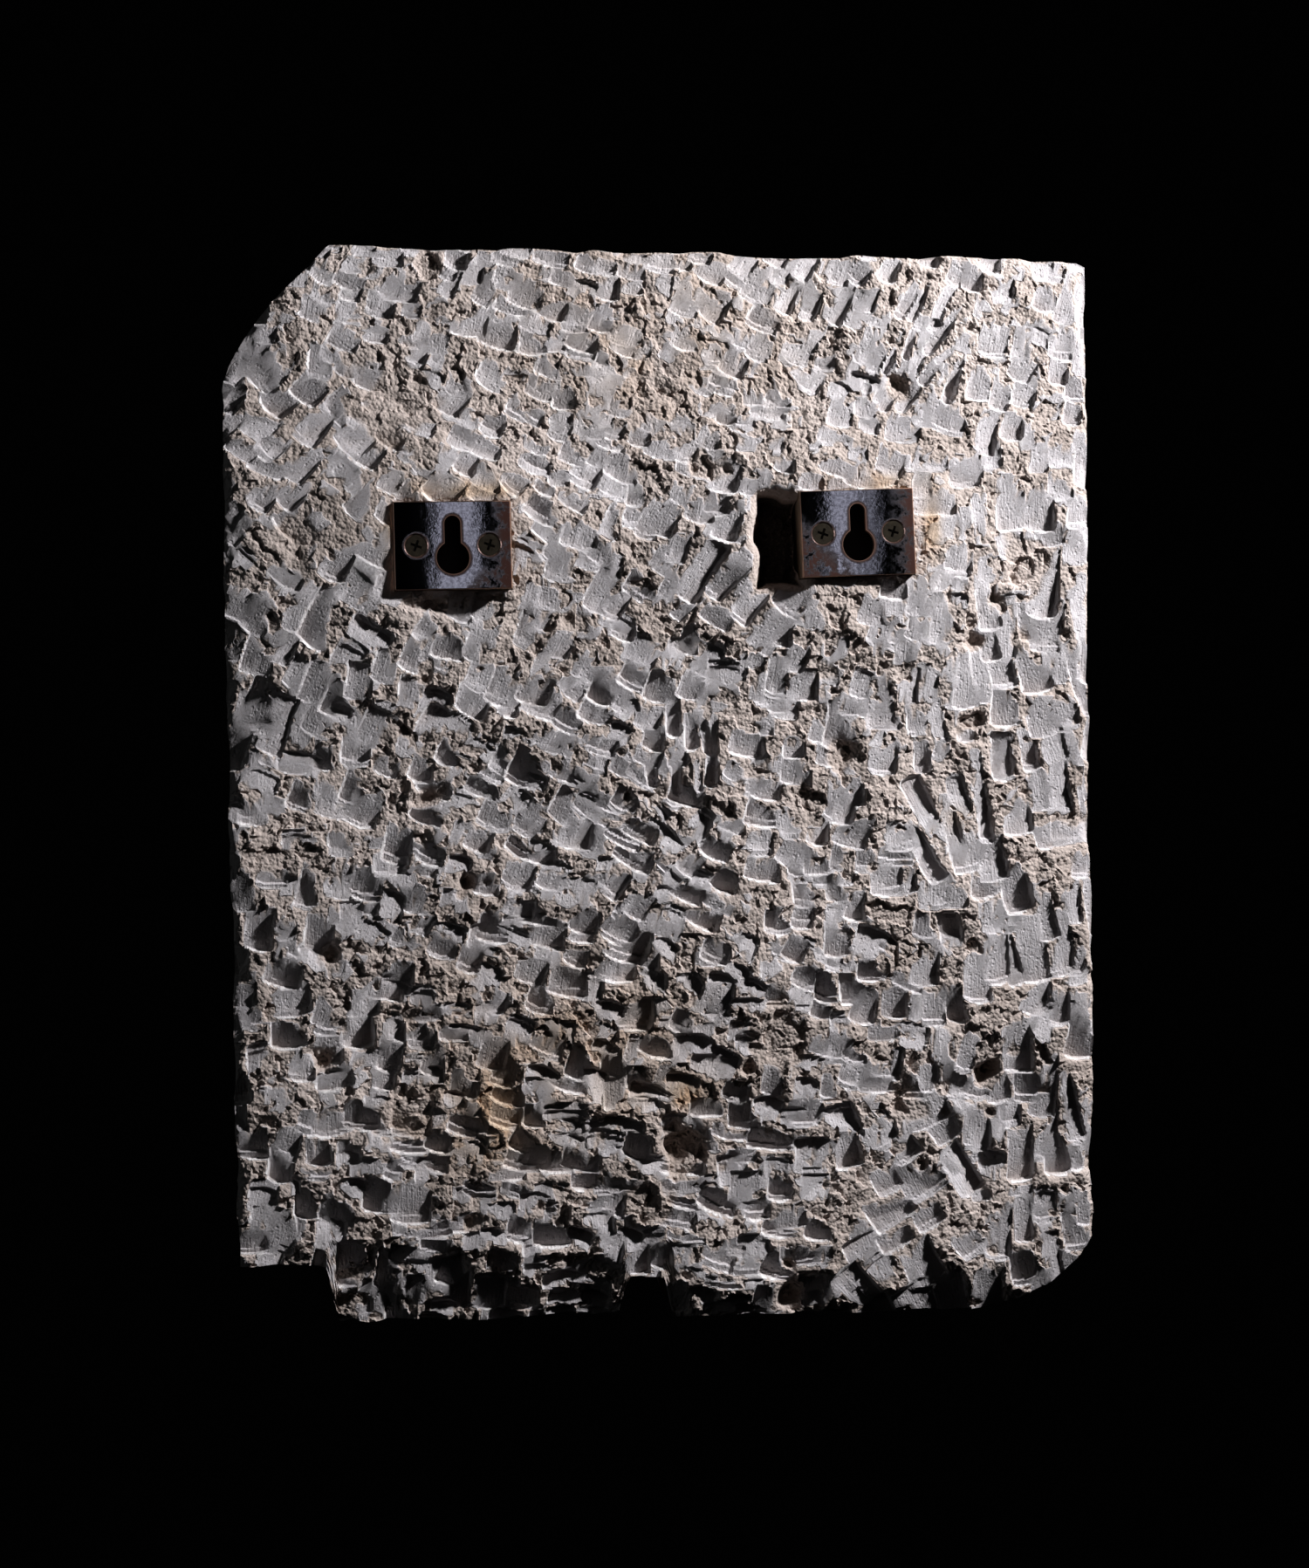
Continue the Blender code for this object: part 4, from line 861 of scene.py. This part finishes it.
# The waxed face is nearly a mirror, and shows the windows and the dark between them in bands. Worn
# brown places are duller and less metallic, and rubbed edges catch the light in a thin copper line.
for name in SEATS:
    bronze, tree, shader = new_material("dark bronze bar, worn patina, " + name)
    place = add_node(tree, "TexCoord", {}, "Object")
    spot = add_node(tree, "VectorMath", {"Vector": place, "Scale": 1.0 / MM}, operation="SCALE")
    spot = add_node(tree, "VectorMath", {0: spot, 1: tuple(hanger_place(name).translation / MM)},
                    operation="SUBTRACT")
    spot = add_node(tree, "VectorRotate", {"Vector": spot, "Angle": TILTS[name]}, rotation_type="Y_AXIS")
    side = add_node(tree, "SeparateXYZ", {0: spot}, "X")
    up = add_node(tree, "SeparateXYZ", {0: spot}, "Z")

    # How far each point lies outside the slot, the round hole and the nearer screw head
    neck = add_node(tree, "Clamp", {"Value": up, "Min": -KEYHOLE_HEAD_BELOW, "Max": SEAT_ABOVE_CENTRE})
    from_neck = add_node(tree, "Math", {0: up, 1: neck}, operation="SUBTRACT")
    from_head = add_node(tree, "Math", {0: up, 1: KEYHOLE_HEAD_BELOW}, operation="ADD")
    sideways = add_node(tree, "Math", {0: side}, operation="ABSOLUTE")
    upright = add_node(tree, "Math", {0: up}, operation="ABSOLUTE")
    from_screw = add_node(tree, "Math", {0: sideways, 1: SCREW_APART}, operation="SUBTRACT")
    rims = []
    for off_side, off_up, radius in ((side, from_neck, KEYHOLE_SEAT_RADIUS),
                                     (side, from_head, KEYHOLE_HEAD_RADIUS),
                                     (from_screw, up, SCREW_HEAD_RADIUS)):
        offset = add_node(tree, "CombineXYZ", {"X": off_side, "Z": off_up})
        reach = add_node(tree, "VectorMath", {0: offset}, "Value", operation="LENGTH")
        rims.append(add_node(tree, "Math", {0: reach, 1: radius}, operation="SUBTRACT"))
    keyhole = add_node(tree, "Math", {0: rims[0], 1: rims[1]}, operation="MINIMUM")
    holes = add_node(tree, "Math", {0: keyhole, 1: rims[2]}, operation="MINIMUM")
    from_end = add_node(tree, "Math", {0: PLATE_HALF_WIDTH, 1: sideways}, operation="SUBTRACT")
    from_top = add_node(tree, "Math", {0: PLATE_HALF_HEIGHT, 1: upright}, operation="SUBTRACT")
    from_edge = add_node(tree, "Math", {0: from_end, 1: from_top}, operation="MINIMUM")

    # Red brown where the wax wore through: a halo round the holes, one side and one lower corner
    blotches = add_node(tree, "TexNoise", {"Vector": spot, "Scale": 1.0 / BLOTCH_SIZE, "Detail": 4.0,
                                           "Roughness": 0.62})
    specks = add_node(tree, "TexNoise", {"Vector": spot, "Scale": 1.0 / SPECK_SIZE, "Detail": 4.0,
                                         "Roughness": 0.70})
    worn_from, worn_to, lean, corner_from, corner_to = WORN_SIDES[name]
    leaning = add_node(tree, "Math", {0: side, 1: lean}, operation="MULTIPLY")
    to_corner = add_node(tree, "Math", {0: leaning, 1: up}, operation="SUBTRACT")
    to_side = add_node(tree, "MapRange", {"Value": side, "From Min": worn_from, "From Max": worn_to},
                       interpolation_type="SMOOTHSTEP")
    to_corner = add_node(tree, "MapRange", {"Value": to_corner, "From Min": corner_from,
                                            "From Max": corner_to}, interpolation_type="SMOOTHSTEP")
    mottled = add_node(tree, "Math", {0: specks, 1: 0.5, 2: blotches}, operation="MULTIPLY_ADD")
    mottled = add_node(tree, "MapRange", {"Value": mottled, "From Min": 0.62, "From Max": 0.80},
                       interpolation_type="SMOOTHSTEP")
    halo = add_node(tree, "Math", {0: blotches, 1: 1.2, 2: holes}, operation="MULTIPLY_ADD")
    halo = add_node(tree, "MapRange", {"Value": halo, "From Min": 2.2, "From Max": 0.9, "To Max": 0.9},
                    interpolation_type="SMOOTHSTEP")
    brown = add_node(tree, "Math", {0: to_side, 1: to_corner}, operation="MAXIMUM")
    brown = add_node(tree, "Math", {0: brown, 1: mottled}, operation="MULTIPLY")
    brown = add_node(tree, "Math", {0: brown, 1: halo}, operation="MAXIMUM")

    # Bare metal where the very edges are rubbed, less so round the holes
    edge_rub = add_node(tree, "MapRange", {"Value": from_edge, "From Min": 0.42, "From Max": 0.18},
                        interpolation_type="SMOOTHSTEP")
    hole_rub = add_node(tree, "MapRange", {"Value": holes, "From Min": 0.34, "From Max": 0.10,
                                           "To Max": 0.55}, interpolation_type="SMOOTHSTEP")
    rubbed = add_node(tree, "Math", {0: edge_rub, 1: hole_rub}, operation="MAXIMUM")
    rubbed_share = add_node(tree, "Math", {0: rubbed, 1: 0.75}, operation="MULTIPLY")
    speckled = add_node(tree, "MapRange", {"Value": specks, "From Min": 0.35, "From Max": 0.65},
                        interpolation_type="SMOOTHSTEP")
    tint = add_node(tree, "Mix", {0: speckled, 6: METAL_PALE, 7: METAL_DEEP}, 2, data_type="RGBA")
    tint = add_node(tree, "Mix", {0: brown, 6: tint, 7: RED_BROWN}, 2, data_type="RGBA")
    tint = add_node(tree, "Mix", {0: rubbed_share, 6: tint, 7: RUBBED_METAL}, 2, data_type="RGBA")
    tree.links.new(tint, shader.inputs["Base Color"])
    metal = add_node(tree, "Math", {0: brown, 1: -0.45, 2: 1.0}, operation="MULTIPLY_ADD")
    tree.links.new(metal, shader.inputs["Metallic"])
    dullness = add_node(tree, "MapRange", {"Value": specks, "From Min": 0.50, "From Max": 0.80,
                                           "To Min": 0.025, "To Max": 0.07},
                        interpolation_type="SMOOTHSTEP")
    dullness = add_node(tree, "Math", {0: brown, 1: 0.38, 2: dullness}, operation="MULTIPLY_ADD")
    dullness = add_node(tree, "Math", {0: rubbed, 1: 0.30, 2: dullness}, operation="MULTIPLY_ADD")
    tree.links.new(dullness, shader.inputs["Roughness"])
    height = add_node(tree, "Math", {0: specks, 1: SPECK_HEIGHT * MM}, operation="MULTIPLY")
    height = add_node(tree, "Math", {0: blotches, 1: BLOTCH_HEIGHT * MM, 2: height},
                      operation="MULTIPLY_ADD")
    bump = add_node(tree, "Bump", {"Height": height, "Strength": 1.0, "Distance": 1.0})
    tree.links.new(bump, shader.inputs["Normal"])
    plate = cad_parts["keyhole_plate_" + name]
    plate.data.materials.clear()
    plate.data.materials.append(bronze)

# Hanger blocks
# Each is a block of brown bronze behind its plate, sawn and filed, glued into its socket in the stone.
# Its sides are painted darker with depth, down to near black, as painted shade in the socket and the
# keyhole's pocket, and the metal looks dull and earthy.
BLOCK_STAIN_SIZE = 6.0
PAINTED_SHADE_START = 3.5
PAINTED_SHADE_FULL = 15.0
bronze_with_painted_shade, tree, shader = new_material("brown bronze block, sawn, with painted shade")
place = add_node(tree, "TexCoord", {}, "Object")
stain = add_node(tree, "TexNoise", {"Vector": place, "Scale": per_metre(BLOCK_STAIN_SIZE), "Detail": 4.0,
                                    "Roughness": 0.6})
tint = add_node(tree, "Mix", {0: stain, 6: colour("#6A5238"), 7: colour("#A88458")}, 2, data_type="RGBA")
# Painted shade: the block darkens to near black with depth into the stone
deep_in = add_node(tree, "SeparateXYZ", {0: place}, "Y")
depth_shade = add_node(tree, "MapRange", {"Value": deep_in, "From Min": PAINTED_SHADE_START * MM,
                                    "From Max": PAINTED_SHADE_FULL * MM})
tint = add_node(tree, "Mix", {0: depth_shade, 6: tint, 7: colour("#0E0B08")}, 2, data_type="RGBA")
tree.links.new(tint, shader.inputs["Base Color"])
shader.inputs["Roughness"].default_value = 0.60
shader.inputs["Specular IOR Level"].default_value = 0.30
for name in SEATS:
    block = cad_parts["hanger_block_" + name]
    block.data.materials.clear()
    block.data.materials.append(bronze_with_painted_shade)

# Plate screws
# Countersunk brass screws with a cross recess, two to a plate, driven through it into the block. They
# were darkened with the plates, and their heads have worn to a dull olive brown with a soft shine.
SCREW_WEAR_SIZE = 2.0
dark_brass, tree, shader = new_material("darkened brass screw, worn head")
place = add_node(tree, "TexCoord", {}, "Object")
wear = add_node(tree, "TexNoise", {"Vector": place, "Scale": per_metre(SCREW_WEAR_SIZE), "Detail": 3.0})
tint = add_node(tree, "Mix", {0: wear, 6: colour("#171310"), 7: colour("#463E31")}, 2, data_type="RGBA")
tree.links.new(tint, shader.inputs["Base Color"])
shader.inputs["Metallic"].default_value = 0.75
shader.inputs["Roughness"].default_value = 0.42
for name in SEATS:
    for letter in "ab":
        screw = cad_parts["plate_screw_" + name + "_" + letter]
        screw.data.materials.clear()
        screw.data.materials.append(dark_brass)

# Floor, light and camera
# A pale painted floor lies below the picture. One small hard lamp, up on the right and close to the
# stone's plane, rakes over the tooling, and everything else is dim, so that the background is black.
FLOOR_HALF = 2.2
FLOOR_LEVEL = -1.45
floor_mesh = bmesh.new()
bmesh.ops.create_grid(floor_mesh, x_segments=1, y_segments=1, size=FLOOR_HALF)
floor = add_mesh_object("floor", floor_mesh)
floor.location = (0.0, 0.0, FLOOR_LEVEL)
floor.visible_diffuse = False
floor.visible_glossy = False
paint, tree, shader = new_material("pale painted floor")
shader.inputs["Base Color"].default_value = colour("#D8D6D2")
shader.inputs["Roughness"].default_value = 0.8
floor.data.materials.append(paint)


def add_light(name, place, aim, size, watts):
    """A round lamp at a place in metres, turned towards its aim and not seen itself."""
    lamp = bpy.data.lights.new(name, "AREA")
    lamp.shape = "DISK"
    lamp.size = size
    lamp.energy = watts
    made = bpy.data.objects.new(name, lamp)
    bpy.context.scene.collection.objects.link(made)
    made.location = place
    made.rotation_mode = "QUATERNION"
    made.rotation_quaternion = (Vector(aim) - Vector(place)).to_track_quat("-Z", "Y")
    made.visible_camera = False
    return made


# Each lamp's name, place, aim, width and watts. The front one only reaches the carved side.
for lamp_row in (("key", (0.64, -0.27, 0.43), (0.03, 0.01, -0.06), 0.055, 17.0),
                 ("fill", (-0.4, -1.6, 0.9), (0.0, 0.0, -0.1), 1.0, 0.07),
                 ("front", (0.7, 1.6, 1.1), (0.0, 0.05, -0.1), 0.8, 30.0)):
    add_light(*lamp_row)

# Tall narrow windows beside the camera, to be mirrored in the plates: name, left, right and watts
WINDOW_AWAY = -1.133
WINDOW_LEVEL = 0.15
WINDOW_HEIGHT = 0.6
WINDOW_TINT = colour("#CFD2E4")
for name, left, right, watts in (("window_left", -0.044, -0.008, 0.10),
                                 ("window_right", 0.302, 0.330, 0.08),
                                 ("window_right_dim", 0.334, 0.345, 0.018)):
    middle = (left + right) / 2.0
    window = add_light(name, (middle, WINDOW_AWAY, WINDOW_LEVEL), (middle, 0.0, WINDOW_LEVEL), 1.0, watts)
    window.data.shape = "RECTANGLE"
    window.data.size = right - left
    window.data.size_y = WINDOW_HEIGHT
    window.data.color = WINDOW_TINT[:3]
    window.visible_diffuse = False

# A low light from the left for gloss alone: it glints on the metal and hardly touches the stone
glint = add_light("glint", (-1.2, -0.30, 0.0), (0.06, 0.0, 0.0), 0.35, 12.0)
glint.visible_diffuse = False
world = bpy.data.worlds.new("studio")
bpy.context.scene.world = world
world.use_nodes = True
world.node_tree.nodes["Background"].inputs["Color"].default_value = colour("#030303")
world.node_tree.nodes["Background"].inputs["Strength"].default_value = 0.5
bpy.context.scene.view_settings.view_transform = "Standard"

# The camera stands a little to the left of the slab's middle, level with it
CAMERA_PLACE = (-0.1492, -1.1328, -0.1166)
CAMERA_AIM = (0.00075, 0.014, -0.1166)
camera_data = bpy.data.cameras.new("camera")
camera_data.lens = 60.0
camera_data.sensor_width = 36.0
camera_data.sensor_fit = "AUTO"
camera_data.clip_start = 0.05
camera = bpy.data.objects.new("camera", camera_data)
bpy.context.scene.collection.objects.link(camera)
camera.location = CAMERA_PLACE
camera.rotation_mode = "QUATERNION"
camera.rotation_quaternion = (Vector(CAMERA_AIM) - Vector(CAMERA_PLACE)).to_track_quat("-Z", "Y")
bpy.context.scene.camera = camera
